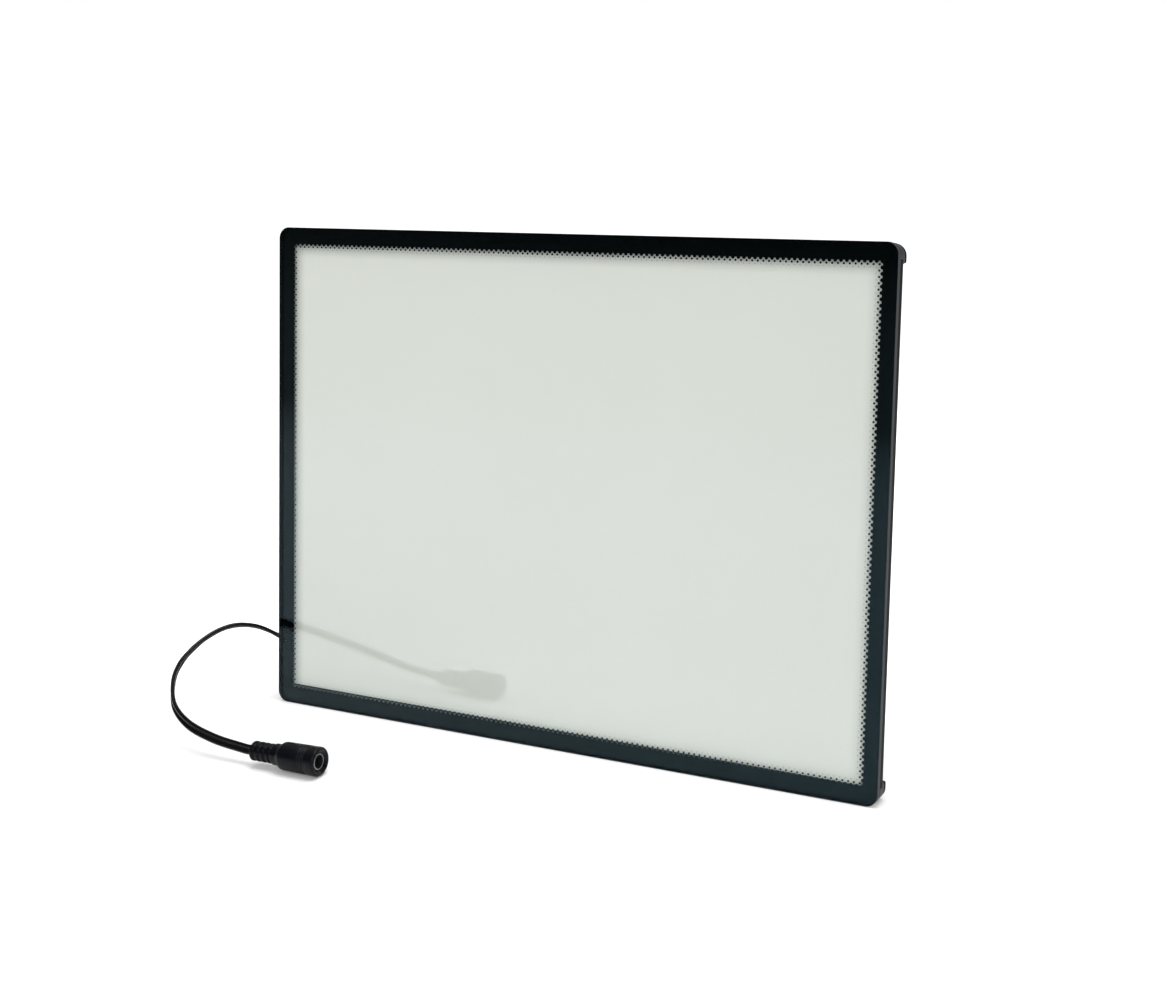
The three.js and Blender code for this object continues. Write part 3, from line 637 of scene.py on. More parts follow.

# %% [markdown]
# Metals have no colour of their own beyond what they mirror, so their grain is fine and weak and
# their clouds vary the polish. The sleeve in the socket is duller than the heads of the rivets.
# The socket is moulded of a softer plastic with a bluish black, and inside the sleeve the metal
# gets a painted shade, dark for the shadow in the bore.

# %% Finishes: metals and socket
nickel = finish(
    "Nickel plate",
    (0.56, 0.56, 0.57),
    (0.66, 0.66, 0.66),
    (0.75, 0.74, 0.70),
    rough=(0.18, 0.30),
    grain=5000.0,
    strength=0.1,
    dust=0.0,
    metal=1.0,
)
dull_nickel = finish(
    "Dull nickel",
    (0.30, 0.30, 0.31),
    (0.38, 0.38, 0.39),
    (0.45, 0.45, 0.45),
    rough=(0.34, 0.45),
    grain=4000.0,
    strength=0.1,
    dust=0.0,
    metal=1.0,
)
brass = finish(
    "Contact brass",
    (0.60, 0.45, 0.19),
    (0.72, 0.57, 0.29),
    (0.8, 0.7, 0.4),
    rough=(0.16, 0.26),
    grain=5000.0,
    strength=0.1,
    dust=0.0,
    metal=1.0,
)
socket_plastic = finish(
    "Soft moulded socket",
    (0.0026, 0.0028, 0.0045),
    (0.0045, 0.0050, 0.0075),
    (0.025, 0.025, 0.03),
    rough=(0.24, 0.32),
    grain=2000.0,
    strength=0.35,
    dust=0.03,
    gloss=0.15,
)
# Painted shade: a dark colour for the shadow inside the sleeve's bore.
painted_shade_inside = finish(
    "Tarnished inside",
    (0.010, 0.010, 0.011),
    (0.020, 0.020, 0.020),
    (0.03, 0.03, 0.03),
    rough=(0.6, 0.7),
    dust=0.0,
    gloss=0.1,
)
print("finishes:", len(bpy.data.materials))

# %% [markdown]
# ## The clear plate
# The plate is 3 mm float glass, so it is both a window and a weak mirror. A Principled shader with
# full transmission refracts what lies behind it, which is what shifts the printed border sideways
# in the photograph. A coating keeps its reflections faint and slightly blue, and faint wipe marks
# vary the polish. Rays from lamps and from matt surfaces pass straight through, so that the sheet
# behind is lit evenly.

# %% Material: clear plate
GLASS_TINT = (0.975, 0.99, 0.98, 1)
COATING_TINT = (0.178, 0.307, 0.38, 1)
WIPE_TURN = (0.0, 0.5, 0.0)
WIPE_STRETCH = (6.0, 1.0, 40.0)
WIPE_SCALE = 3.0
WIPE_EDGES = (0.45, 0.75)
WIPE_ROUGHNESS = 0.018

glass = bpy.data.materials.new("Clear plate glass")
glass.use_nodes = True
tree = glass.node_tree
shader = tree.nodes["Principled BSDF"]
shader.inputs["Base Color"].default_value = GLASS_TINT
shader.inputs["Transmission Weight"].default_value = 1.0
shader.inputs["IOR"].default_value = 1.5
shader.inputs["Specular Tint"].default_value = COATING_TINT

place = tree.nodes.new("ShaderNodeTexCoord").outputs["Object"]
streak_place = tree.nodes.new("ShaderNodeMapping")
streak_place.inputs["Rotation"].default_value = WIPE_TURN
streak_place.inputs["Scale"].default_value = WIPE_STRETCH
tree.links.new(place, streak_place.inputs["Vector"])
streaks = noise_node(tree, streak_place.outputs["Vector"], WIPE_SCALE, 4)
wiped = range_node(tree, streaks, *WIPE_EDGES, 0.0, WIPE_ROUGHNESS)
tree.links.new(wiped, shader.inputs["Roughness"])

light_path = tree.nodes.new("ShaderNodeLightPath")
straight = math_node(
    tree,
    "MAXIMUM",
    light_path.outputs["Is Shadow Ray"],
    light_path.outputs["Is Diffuse Ray"],
)
clear = tree.nodes.new("ShaderNodeBsdfTransparent")
clear.inputs["Color"].default_value = GLASS_TINT
either = tree.nodes.new("ShaderNodeMixShader")
tree.links.new(straight, either.inputs["Fac"])
tree.links.new(shader.outputs["BSDF"], either.inputs[1])
tree.links.new(clear.outputs["BSDF"], either.inputs[2])
tree.links.new(either.outputs[0], tree.nodes["Material Output"].inputs["Surface"])
print("material:", glass.name)

# %% [markdown]
# The plate's edge is ground and sealed with dark grey varnish, so no light gets in there and the
# border stays black right up to it. From inside the plate the varnish looks black, which a mix by
# Geometry's Backfacing gives.

# %% Material: varnished edge
VARNISH_INSIDE = (0.001, 0.0015, 0.0015)

edge_varnish = finish(
    "Varnished plate edge",
    (0.040, 0.043, 0.047),
    (0.053, 0.057, 0.061),
    (0.09, 0.095, 0.098),
    rough=(0.42, 0.5),
    grain=1800.0,
    wear_width=0.0002,
    dust=0.0,
    gloss=0.10,
)
tree = edge_varnish.node_tree
shader = tree.nodes["Principled BSDF"]
outside = shader.inputs["Base Color"].links[0].from_socket
inner_side = tree.nodes.new("ShaderNodeNewGeometry").outputs["Backfacing"]
colour = mix_colours(tree, inner_side, outside, VARNISH_INSIDE)
tree.links.new(colour, shader.inputs["Base Color"])
print("material:", edge_varnish.name)

# %% [markdown]
# The plate's own solid has coarse corners and a plain bevel. This piece has the same outline with
# many more steps round each corner, and a small arris in three facets. It is a stack of rounded
# outlines, one behind the other, joined into a closed shell.

# %% Piece: clear plate
CORNER_RADIUS = 0.0053
CORNER_STEPS = 24
ARRIS = 0.00012
ARRIS_FACETS = 3
SQUARE_ON = 0.99


def rounded_outline(width, height, radius, steps):
    """Corner points of a rounded rectangle about the origin, anticlockwise from the right."""
    points = []
    for corner, (x, y) in enumerate([(1, 1), (-1, 1), (-1, -1), (1, -1)]):
        middle_x, middle_y = x * (width / 2 - radius), y * (height / 2 - radius)
        for step in range(steps + 1):
            angle = math.pi / 2 * (corner + step / steps)
            points.append(
                (middle_x + radius * math.cos(angle), middle_y + radius * math.sin(angle))
            )
    return points


def stacked_outlines(layers):
    """Joins outlines of the same point count, one behind the other, into a closed shell."""
    count = len(layers[0][0])
    points = [on_panel(x, y, depth) for outline, depth in layers for x, y in outline]
    faces = [list(range(count))]
    for layer in range(len(layers) - 1):
        for i in range(count):
            j = (i + 1) % count
            a, b = layer * count, (layer + 1) * count
            faces.append([a + j, a + i, b + i, b + j])
    last = (len(layers) - 1) * count
    faces.append([last + i for i in reversed(range(count))])
    return points, faces


plate_layers = []
for step in range(ARRIS_FACETS + 1):
    angle = math.pi / 2 * step / ARRIS_FACETS
    inset = ARRIS * (1 - math.sin(angle))
    outline = rounded_outline(
        PANEL_WIDTH - 2 * inset, PANEL_HEIGHT - 2 * inset, CORNER_RADIUS - inset, CORNER_STEPS
    )
    plate_layers.append((outline, ARRIS * (1 - math.cos(angle))))
back_half = [(outline, PLATE_THICKNESS - depth) for outline, depth in reversed(plate_layers)]
plate_points, plate_faces = stacked_outlines(plate_layers + back_half)

cover_glass = make_piece("cover_glass", plate_points, plate_faces, glass)
cover_glass.data.materials.append(edge_varnish)
for face in cover_glass.data.polygons:
    face.material_index = 0 if abs(face.normal.dot(OUT)) > SQUARE_ON else 1
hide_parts("cover_plate")
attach(cover_glass, "front_cover")
print("plate faces:", len(cover_glass.data.polygons))

# %% [markdown]
# ## The printed border
# The border is black ink on the plate's back. Its inner edge isn't straight. As on the edge of a
# car window, rows of round ink dots shrink from one row to the next and are set off by half a
# pitch: the outer rows grow together with the black, and the last ones stand alone. That hides the
# step from black to white. Geometry Nodes lay the rows out from their counts, pitches and radii.

# %% Sizes and ink of the print
PRINT_DEPTH = 0.0031
PRINT_THICKNESS = 0.0001
DOT_COLUMNS = 116
DOT_ROWS = 84
DOT_PITCH_X = 0.002484
DOT_PITCH_Y = 0.002505
DOT_LINE_RAISE = -0.00020
ROW_RADII = {"Root": 0.00114, "Bump": 0.00080, "Dot": 0.00047, "Fade": 0.00015}
ROW_SIDES = {"Root": 20, "Bump": 20, "Dot": 14, "Fade": 8}
BLACK_FROM = 0.00200

dot_width = DOT_COLUMNS * DOT_PITCH_X
dot_height = DOT_ROWS * DOT_PITCH_Y
print("dot line in mm:", round(dot_width / MM, 2), "x", round(dot_height / MM, 2))

ink = finish(
    "Black ink behind glass",
    (0.0006, 0.0010, 0.0009),
    (0.0010, 0.0016, 0.0014),
    (0.002, 0.003, 0.003),
    rough=(0.6, 0.7),
    grain=3000.0,
    strength=0.05,
    wear=0.0,
    dust=0.0,
    gloss=0.0,
)

# %% [markdown]
# A disc of ink is a Mesh Cylinder, and a row of them is that disc on the points of a Mesh Line.
# Helpers make these in any tree, and one starts a tree with named inputs.

# %% Helpers for geometry trees


def geometry_group(name, inputs):
    """An empty geometry tree with named inputs. Inputs are (name, kind, value)."""
    tree = bpy.data.node_groups.new(name, "GeometryNodeTree")
    tree.interface.new_socket("Geometry", in_out="OUTPUT", socket_type="NodeSocketGeometry")
    for label, kind, value in inputs:
        socket = tree.interface.new_socket(label, in_out="INPUT", socket_type=kind)
        if value is not None:
            socket.default_value = value
    return tree, tree.nodes.new("NodeGroupInput"), tree.nodes.new("NodeGroupOutput")


def combine(tree, x, y, z=0.0):
    """A Combine XYZ node, returning its vector."""
    node = tree.nodes.new("ShaderNodeCombineXYZ")
    for socket, value in zip(node.inputs, (x, y, z)):
        connect(tree, value, socket)
    return node.outputs[0]


def disc_shape(tree, sides, radius, thickness):
    """A thin closed disc from a Mesh Cylinder node."""
    node = tree.nodes.new("GeometryNodeMeshCylinder")
    node.inputs["Vertices"].default_value = sides
    connect(tree, radius, node.inputs["Radius"])
    connect(tree, thickness, node.inputs["Depth"])
    return node.outputs["Mesh"]


def row_of(tree, shape, count, pitch, height):
    """A shape repeated along x, centred, at a height, as instances."""
    line = tree.nodes.new("GeometryNodeMeshLine")
    line.mode = "OFFSET"
    span = math_node(tree, "MULTIPLY", math_node(tree, "SUBTRACT", count, 1.0), pitch)
    first = math_node(tree, "MULTIPLY", span, -0.5)
    tree.links.new(count, line.inputs["Count"])
    connect(tree, combine(tree, first, height), line.inputs["Start Location"])
    connect(tree, combine(tree, pitch, 0.0), line.inputs["Offset"])
    repeat = tree.nodes.new("GeometryNodeInstanceOnPoints")
    tree.links.new(line.outputs["Mesh"], repeat.inputs["Points"])
    tree.links.new(shape, repeat.inputs["Instance"])
    return repeat.outputs["Instances"]


radius_inputs = [(f"{row} Radius", "NodeSocketFloat", ROW_RADII[row]) for row in ROW_RADII]
print("radius inputs:", [name for name, kind, value in radius_inputs])

# %% [markdown]
# Along one side lie four rows: the row that grows into the black, the row of bumps, the row of free
# dots and the row of fading dots, each half a pitch further in than the last. A nested node group
# lays them out for one side and turns it into place, so the main tree needs only four of it.

# %% Geometry Nodes: one side of the print
ROW_PLACES = {"Root": (1, 1.0), "Bump": (0, 0.5), "Dot": (-1, 0.0), "Fade": (0, -0.5)}

side_tree, start, end = geometry_group(
    "Print Side",
    [
        ("Count", "NodeSocketInt", DOT_COLUMNS),
        ("Pitch", "NodeSocketFloat", DOT_PITCH_X),
        ("Distance", "NodeSocketFloat", dot_height / 2),
        ("Thickness", "NodeSocketFloat", PRINT_THICKNESS),
        ("Turn", "NodeSocketFloat", 0.0),
    ]
    + radius_inputs,
)
given = start.outputs
joined = side_tree.nodes.new("GeometryNodeJoinGeometry")
for row, (more, outwards) in ROW_PLACES.items():
    count = math_node(side_tree, "ADD", given["Count"], float(more))
    away = math_node(side_tree, "MULTIPLY", given["Pitch"], outwards)
    height = math_node(side_tree, "ADD", given["Distance"], away)
    shape = disc_shape(side_tree, ROW_SIDES[row], given[f"{row} Radius"], given["Thickness"])
    side_tree.links.new(row_of(side_tree, shape, count, given["Pitch"], height), joined.inputs[0])
turned = side_tree.nodes.new("GeometryNodeTransform")
side_tree.links.new(joined.outputs[0], turned.inputs["Geometry"])
connect(side_tree, combine(side_tree, 0.0, 0.0, given["Turn"]), turned.inputs["Rotation"])
side_tree.links.new(turned.outputs[0], end.inputs[0])
print("group:", side_tree.name, "nodes:", len(side_tree.nodes))

# %% [markdown]
# The main tree places the four sides, adds a dot and a bump on each corner's diagonal, makes
# everything real and gives it the ink.

# %% Geometry Nodes: the whole dotted edge
edge_tree, start, end = geometry_group(
    "Dotted Edge",
    [
        ("Columns", "NodeSocketInt", DOT_COLUMNS),
        ("Rows", "NodeSocketInt", DOT_ROWS),
        ("Column Pitch", "NodeSocketFloat", DOT_PITCH_X),
        ("Row Pitch", "NodeSocketFloat", DOT_PITCH_Y),
        ("Thickness", "NodeSocketFloat", PRINT_THICKNESS),
        ("Ink", "NodeSocketMaterial", None),
    ]
    + radius_inputs,
)
given = start.outputs
halves = {}
for axis, count, pitch in (("x", "Columns", "Column Pitch"), ("y", "Rows", "Row Pitch")):
    steps = math_node(edge_tree, "MULTIPLY", given[count], 0.5)
    halves[axis] = math_node(edge_tree, "MULTIPLY", steps, given[pitch])
half_pitch = math_node(edge_tree, "MULTIPLY", given["Column Pitch"], 0.5)
everything = edge_tree.nodes.new("GeometryNodeJoinGeometry")
for quarter in range(4):
    lying = quarter % 2 == 0
    side_node = edge_tree.nodes.new("GeometryNodeGroup")
    side_node.node_tree = side_tree
    connect(edge_tree, given["Columns" if lying else "Rows"], side_node.inputs["Count"])
    connect(edge_tree, given["Column Pitch" if lying else "Row Pitch"], side_node.inputs["Pitch"])
    connect(edge_tree, halves["y" if lying else "x"], side_node.inputs["Distance"])
    side_node.inputs["Turn"].default_value = quarter * math.pi / 2
    for label in ["Thickness"] + [f"{row} Radius" for row in ROW_RADII]:
        connect(edge_tree, given[label], side_node.inputs[label])
    edge_tree.links.new(side_node.outputs[0], everything.inputs[0])

    for row, outwards in (("Dot", 0.0), ("Bump", 1.0)):
        beyond = math_node(edge_tree, "MULTIPLY", half_pitch, outwards)
        at_x = math_node(edge_tree, "ADD", halves["x"], beyond)
        at_y = math_node(edge_tree, "ADD", halves["y"], beyond)
        at_x = math_node(edge_tree, "MULTIPLY", at_x, 1.0 if quarter in (0, 3) else -1.0)
        at_y = math_node(edge_tree, "MULTIPLY", at_y, 1.0 if quarter in (0, 1) else -1.0)
        shape = disc_shape(edge_tree, ROW_SIDES[row], given[f"{row} Radius"], given["Thickness"])
        placed = edge_tree.nodes.new("GeometryNodeTransform")
        edge_tree.links.new(shape, placed.inputs["Geometry"])
        connect(edge_tree, combine(edge_tree, at_x, at_y), placed.inputs["Translation"])
        edge_tree.links.new(placed.outputs[0], everything.inputs[0])
real = edge_tree.nodes.new("GeometryNodeRealizeInstances")
inked = edge_tree.nodes.new("GeometryNodeSetMaterial")
edge_tree.links.new(everything.outputs[0], real.inputs[0])
edge_tree.links.new(real.outputs[0], inked.inputs["Geometry"])
edge_tree.links.new(given["Ink"], inked.inputs["Material"])
edge_tree.links.new(inked.outputs[0], end.inputs[0])
print("group:", edge_tree.name, "nodes:", len(edge_tree.nodes))

# %% [markdown]
# A tree needs an object to run on. It sits as a modifier on an empty mesh, its inputs are set by
# their identifiers, and what it makes becomes that object's plain mesh.

# %% Run the tree


def run_tree(name, tree, values):
    """A plain mesh object from a geometry tree, with its inputs set by their identifiers."""
    piece = make_piece(name, [], [], None)
    modifier = piece.modifiers.new("nodes", "NODES")
    modifier.node_group = tree
    for item in tree.interface.items_tree:
        if item.item_type == "SOCKET" and item.in_out == "INPUT" and item.name in values:
            modifier[item.identifier] = values[item.name]
    settle(piece)
    return piece


border_values = {
    "Columns": DOT_COLUMNS,
    "Rows": DOT_ROWS,
    "Column Pitch": DOT_PITCH_X,
    "Row Pitch": DOT_PITCH_Y,
    "Thickness": PRINT_THICKNESS,
    "Ink": ink,
}
border_values.update({f"{row} Radius": radius for row, radius in ROW_RADII.items()})
border = run_tree("printed_border", edge_tree, border_values)
print("dotted edge faces:", len(border.data.polygons))

# %% [markdown]
# The broad part of the border is a flat ring from just inside the plate's outline to the second
# row of dots. It joins the dots in one mesh, and both go to the plate's back by one matrix.

# %% Piece: printed border
PRINT_EDGE = 0.00003
RING_STEPS = 12
INNER_CORNER = 0.00001
PANEL_TURN = Matrix((RIGHT, UP, OUT)).transposed().to_4x4()


def flat_ring(outer, inner, thickness):
    """Points and faces of a flat ring between two outlines of the same point count."""
    count = len(outer)
    points = []
    for z in (thickness / 2, -thickness / 2):
        points += [(x, y, z) for x, y in outer] + [(x, y, z) for x, y in inner]
    faces = []
    for i in range(count):
        j = (i + 1) % count
        faces.append([i, j, count + j, count + i])
        faces.append([2 * count + j, 2 * count + i, 3 * count + i, 3 * count + j])
        faces.append([j, i, 2 * count + i, 2 * count + j])
        faces.append([count + i, count + j, 3 * count + j, 3 * count + i])
    return points, faces


ring_outer = rounded_outline(
    PANEL_WIDTH - 2 * PRINT_EDGE,
    PANEL_HEIGHT - 2 * PRINT_EDGE,
    CORNER_RADIUS - PRINT_EDGE,
    RING_STEPS,
)
ring_inner = rounded_outline(
    dot_width + 2 * BLACK_FROM, dot_height + 2 * BLACK_FROM, INNER_CORNER, RING_STEPS
)
ring_inner = [(x, y + DOT_LINE_RAISE) for x, y in ring_inner]
ring_points, ring_faces = flat_ring(ring_outer, ring_inner, PRINT_THICKNESS)
border_mesh = bmesh.new()
border_mesh.from_mesh(border.data)
bmesh.ops.translate(border_mesh, verts=border_mesh.verts, vec=(0, DOT_LINE_RAISE, 0))
ring_verts = [border_mesh.verts.new(p) for p in ring_points]
for face in ring_faces:
    border_mesh.faces.new([ring_verts[i] for i in face])
middle = on_panel(0, 0, PRINT_DEPTH + PRINT_THICKNESS / 2)
border_mesh.transform(Matrix.Translation(middle) @ PANEL_TURN)
border_mesh.to_mesh(border.data)
border_mesh.free()
paint(border, ink)
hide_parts("border_print")
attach(border, "front_cover")
print("border faces:", len(border.data.polygons))

# %% [markdown]
# ## The diffuser
# The white sheet is an opal film with a slight gloss, which is why the socket shows in it as a
# soft mirror image. The border keeps some light off its rim, most at the top, and that shade is
# painted into the film's colour, so its edge is darker. A group measures how far a point is from
# each edge of the window, in the panel's own directions, and gives out the painted shade, and how
# far across the panel the point is.

# %% Group: window shade
SHADE_FROM = -0.001

shade_group, start, end = new_group(
    "Window Shade",
    [
        ("Reach", "NodeSocketFloat", 0.006),
        ("Top", "NodeSocketFloat", 0.3),
        ("Left", "NodeSocketFloat", 0.3),
        ("Right", "NodeSocketFloat", 0.2),
        ("Bottom", "NodeSocketFloat", 0.15),
    ],
    [("Shade", "NodeSocketFloat"), ("Across", "NodeSocketFloat")],
)
place = shade_group.nodes.new("ShaderNodeTexCoord").outputs["Object"]
panel_place = shade_group.nodes.new("ShaderNodeMapping")
panel_place.vector_type = "TEXTURE"
panel_place.inputs["Location"].default_value = FACE_MIDDLE
panel_place.inputs["Rotation"].default_value = (math.pi / 2 - LEAN, 0, 0)
shade_group.links.new(place, panel_place.inputs["Vector"])
parts = shade_group.nodes.new("ShaderNodeSeparateXYZ")
shade_group.links.new(panel_place.outputs["Vector"], parts.inputs[0])
lit = 1.0
for label, axis, sign, half in (
    ("Top", "Y", -1.0, dot_height / 2),
    ("Bottom", "Y", 1.0, dot_height / 2),
    ("Right", "X", -1.0, dot_width / 2),
    ("Left", "X", 1.0, dot_width / 2),
):
    along = math_node(shade_group, "MULTIPLY", parts.outputs[axis], sign)
    inside = math_node(shade_group, "ADD", along, half)
    near = range_node(shade_group, inside, SHADE_FROM, start.outputs["Reach"], 1.0, 0.0)
    near = math_node(shade_group, "MULTIPLY", near, start.outputs[label])
    lit = math_node(shade_group, "MULTIPLY", lit, math_node(shade_group, "SUBTRACT", 1.0, near))
shade = math_node(shade_group, "SUBTRACT", 1.0, lit, clamp=True)
shade_group.links.new(shade, end.inputs["Shade"])
across = range_node(
    shade_group, parts.outputs["X"], -PANEL_WIDTH / 2, PANEL_WIDTH / 2, 0.0, 1.0, False
)
shade_group.links.new(across, end.inputs["Across"])
print("group:", shade_group.name)

# %% [markdown]
# The film itself is a greenish white. Its colour is painted a little lighter at its left than at
# its right, which is painted light for light that falls unevenly across the face. Its clouds are
# so faint that they only keep it from looking flat, and a high index makes it mirror enough of the
# lead and the socket.

# %% Material: diffuser film
FILM_INDEX = 2.0
FILM_GRAIN = {"Grain Scale": 1500.0, "Cloud Scale": 12.0}
WINDOW_RIM = {"Reach": 0.0058, "Top": 0.52, "Left": 0.45, "Right": 0.28, "Bottom": 0.16}
WHITES_LIT_LEFT = ((0.764, 0.774, 0.738), (0.774, 0.784, 0.748))
WHITES_SHADED_RIGHT = ((0.704, 0.716, 0.682), (0.714, 0.726, 0.692))
SHADED_RIM = (0.13, 0.14, 0.13)
FILM_ROUGHNESS = (0.050, 0.065)
FILM_BUMP = (0.02, 0.00001)

diffuser = bpy.data.materials.new("Opal diffuser film")
diffuser.use_nodes = True
tree = diffuser.node_tree
shader = tree.nodes["Principled BSDF"]
shader.inputs["IOR"].default_value = FILM_INDEX
look = group_in(tree, grain_group, FILM_GRAIN)
rim = group_in(tree, shade_group, WINDOW_RIM)
lit_left_colour = mix_colours(tree, look.outputs["Clouds"], *WHITES_LIT_LEFT)
shaded_right_colour = mix_colours(tree, look.outputs["Clouds"], *WHITES_SHADED_RIGHT)
# Painted light: the film's colour goes from a lighter white at the left to a darker one at the
# right.
colour = mix_colours(tree, rim.outputs["Across"], lit_left_colour, shaded_right_colour)
# Painted shade: the film's rim is mixed towards grey where the border keeps light off it.
colour = mix_colours(tree, rim.outputs["Shade"], colour, SHADED_RIM)
tree.links.new(colour, shader.inputs["Base Color"])
roughness = range_node(tree, look.outputs["Clouds"], 0.0, 1.0, *FILM_ROUGHNESS, False)
tree.links.new(roughness, shader.inputs["Roughness"])
tree.links.new(bump_from(tree, look.outputs["Grain"], *FILM_BUMP), shader.inputs["Normal"])
paint(nodes["diffuser_sheet"], diffuser)
print("material:", diffuser.name)

# %% [markdown]
# A thin black strip runs round the sheet's rim, with grey film outside it. Both are painted shade:
# they darken the film where the border keeps light off it. Along the left and the bottom the strip
# reaches in as far as the dots, lowest at the right-hand end. That is why the lower row shows small
# grey spots on black, while the others show white ones.

# %% Piece: strip of painted shade
SHADE_STRIP_DEPTH = 0.00368
SHADE_STRIP_THICKNESS = 0.00005
SHADE_STRIP_WIDTH = 0.0006
SHADE_STRIP_CORNERS = [(0.1454, 0.1072), (-0.1452, 0.1072), (-0.1452, -0.1051), (0.1454, -0.1064)]
RIM_CORNERS = [(0.1482, 0.1097), (-0.1482, 0.1097), (-0.1482, -0.1097), (0.1482, -0.1097)]

# Painted shade: the grey film outside the strip stands for film that the border keeps in shadow.
painted_shade_grey = finish(
    "Grey rim film", (0.10, 0.105, 0.10), (0.13, 0.135, 0.13), (0.15, 0.15, 0.15), dust=0.0
)
strip_outer = [
    (x + math.copysign(SHADE_STRIP_WIDTH, x), y + math.copysign(SHADE_STRIP_WIDTH, y)) for x, y in SHADE_STRIP_CORNERS
]
strip_points, strip_faces = flat_ring(strip_outer, SHADE_STRIP_CORNERS, SHADE_STRIP_THICKNESS)
rim_points, rim_faces = flat_ring(RIM_CORNERS, strip_outer, SHADE_STRIP_THICKNESS)
rim_faces = [[len(strip_points) + i for i in face] for face in rim_faces]
both_points = [on_panel(x, y, SHADE_STRIP_DEPTH - z) for x, y, z in strip_points + rim_points]
edge_tape = make_piece("edge_tape", both_points, strip_faces + rim_faces, shade_strip_black)
edge_tape.data.materials.append(painted_shade_grey)
for face in edge_tape.data.polygons:
    face.material_index = int(face.index >= len(strip_faces))
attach(edge_tape, "panel_body")
print("tape faces:", len(edge_tape.data.polygons))

# %% [markdown]
# ## Frame, blocks and pads
# The rails, corner blocks and pads show on the panel's right-hand edge. Their solids have sharp
# edges, so a copy of each gets small rounded ones, which catch a line of light as moulded and
# extruded parts do.

# %% Pieces: rails, blocks and pads
CORNERS = ("top_right", "top_left", "bottom_left", "bottom_right")
SIDES = ("right", "left", "top", "bottom")
BLOCK_ROUNDING = 0.00022
PAD_ROUNDING = 0.0003
RAIL_ROUNDING = 0.00012

for corner in CORNERS:
    block = copy_of_node(f"corner_block_{corner}", f"block_{corner}", BLOCK_ROUNDING)
    paint(block, block_plastic)
    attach(block, "panel_body")
    pad = copy_of_node(f"corner_pad_{corner}", f"pad_{corner}", PAD_ROUNDING)
    paint(pad, rubber)
    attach(pad, "panel_body")
for name in SIDES:
    rail = copy_of_node(f"frame_rail_{name}", f"rail_{name}", RAIL_ROUNDING)
    paint(rail, rail_black)
    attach(rail, "panel_body")
print("rounded pieces:", 2 * len(CORNERS) + len(SIDES))

# %% [markdown]
# ## The flat twin lead
# Two round cores lie side by side in one moulded skin, so the section is a figure of eight. A tree
# sweeps it along the route: Curve to Mesh takes the route as its curve and the section as its
# profile, and the length along the route is stored first, so that the material can use it.

# %% Geometry Nodes: lead from its route
sweep_tree, start, end = geometry_group(
    "Lead Sweep",
    [
        ("Route", "NodeSocketObject", None),
        ("Section", "NodeSocketObject", None),
        ("Skin", "NodeSocketMaterial", None),
    ],
)
route = sweep_tree.nodes.new("GeometryNodeObjectInfo")
section = sweep_tree.nodes.new("GeometryNodeObjectInfo")
sweep_tree.links.new(start.outputs["Route"], route.inputs["Object"])
sweep_tree.links.new(start.outputs["Section"], section.inputs["Object"])
upright = sweep_tree.nodes.new("GeometryNodeSetCurveNormal")
upright.mode = "Z_UP"
sweep_tree.links.new(route.outputs["Geometry"], upright.inputs["Curve"])
measure = sweep_tree.nodes.new("GeometryNodeSplineParameter")
keep_length = sweep_tree.nodes.new("GeometryNodeStoreNamedAttribute")
keep_length.data_type = "FLOAT"
keep_length.domain = "POINT"
keep_length.inputs["Name"].default_value = "along"
sweep_tree.links.new(upright.outputs["Curve"], keep_length.inputs["Geometry"])
sweep_tree.links.new(measure.outputs["Length"], keep_length.inputs["Value"])
swept = sweep_tree.nodes.new("GeometryNodeCurveToMesh")
swept.inputs["Fill Caps"].default_value = True
sweep_tree.links.new(keep_length.outputs["Geometry"], swept.inputs["Curve"])
sweep_tree.links.new(section.outputs["Geometry"], swept.inputs["Profile Curve"])
shaded = sweep_tree.nodes.new("GeometryNodeSetShadeSmooth")
sweep_tree.links.new(swept.outputs["Mesh"], shaded.inputs[0])
real = sweep_tree.nodes.new("GeometryNodeRealizeInstances")
sweep_tree.links.new(shaded.outputs[0], real.inputs[0])
coated = sweep_tree.nodes.new("GeometryNodeSetMaterial")
sweep_tree.links.new(real.outputs[0], coated.inputs["Geometry"])
sweep_tree.links.new(start.outputs["Skin"], coated.inputs["Material"])
sweep_tree.links.new(coated.outputs[0], end.inputs[0])
print("group:", sweep_tree.name)

# %% [markdown]
# The lead's skin is soft plastic with a faint shine. Its own attribute "along" runs down the
# lead, so a fine drag mark from the extruder follows every bend. A second Bump node adds it to
# what the first one makes of the grain.

# %% Material: lead skin
DRAG_SCALE = 700.0
DRAG_STRENGTH = 0.15
DRAG_DEPTH = 0.00002

lead_skin = finish(
    "Lead skin",
    (0.0035, 0.0035, 0.0042),
    (0.0060, 0.0060, 0.0070),
    (0.03, 0.03, 0.03),
    rough=(0.12, 0.18),
    grain=2600.0,
    strength=0.15,
    wear=0.0,
    dust=0.02,
    gloss=0.24,
)
tree = lead_skin.node_tree
along = tree.nodes.new("ShaderNodeAttribute")
along.attribute_name = "along"
drag = tree.nodes.new("ShaderNodeTexNoise")
drag.noise_dimensions = "1D"
drag.inputs["Scale"].default_value = DRAG_SCALE
drag.inputs["Detail"].default_value = 2.0
tree.links.new(along.outputs["Fac"], drag.inputs["W"])
shader = tree.nodes["Principled BSDF"]
grain_normal = shader.inputs["Normal"].links[0].from_socket
dragged_normal = bump_from(tree, drag.outputs["Fac"], DRAG_STRENGTH, DRAG_DEPTH)
tree.links.new(grain_normal, dragged_normal.node.inputs["Normal"])
tree.links.new(dragged_normal, shader.inputs["Normal"])
print("material:", lead_skin.name)

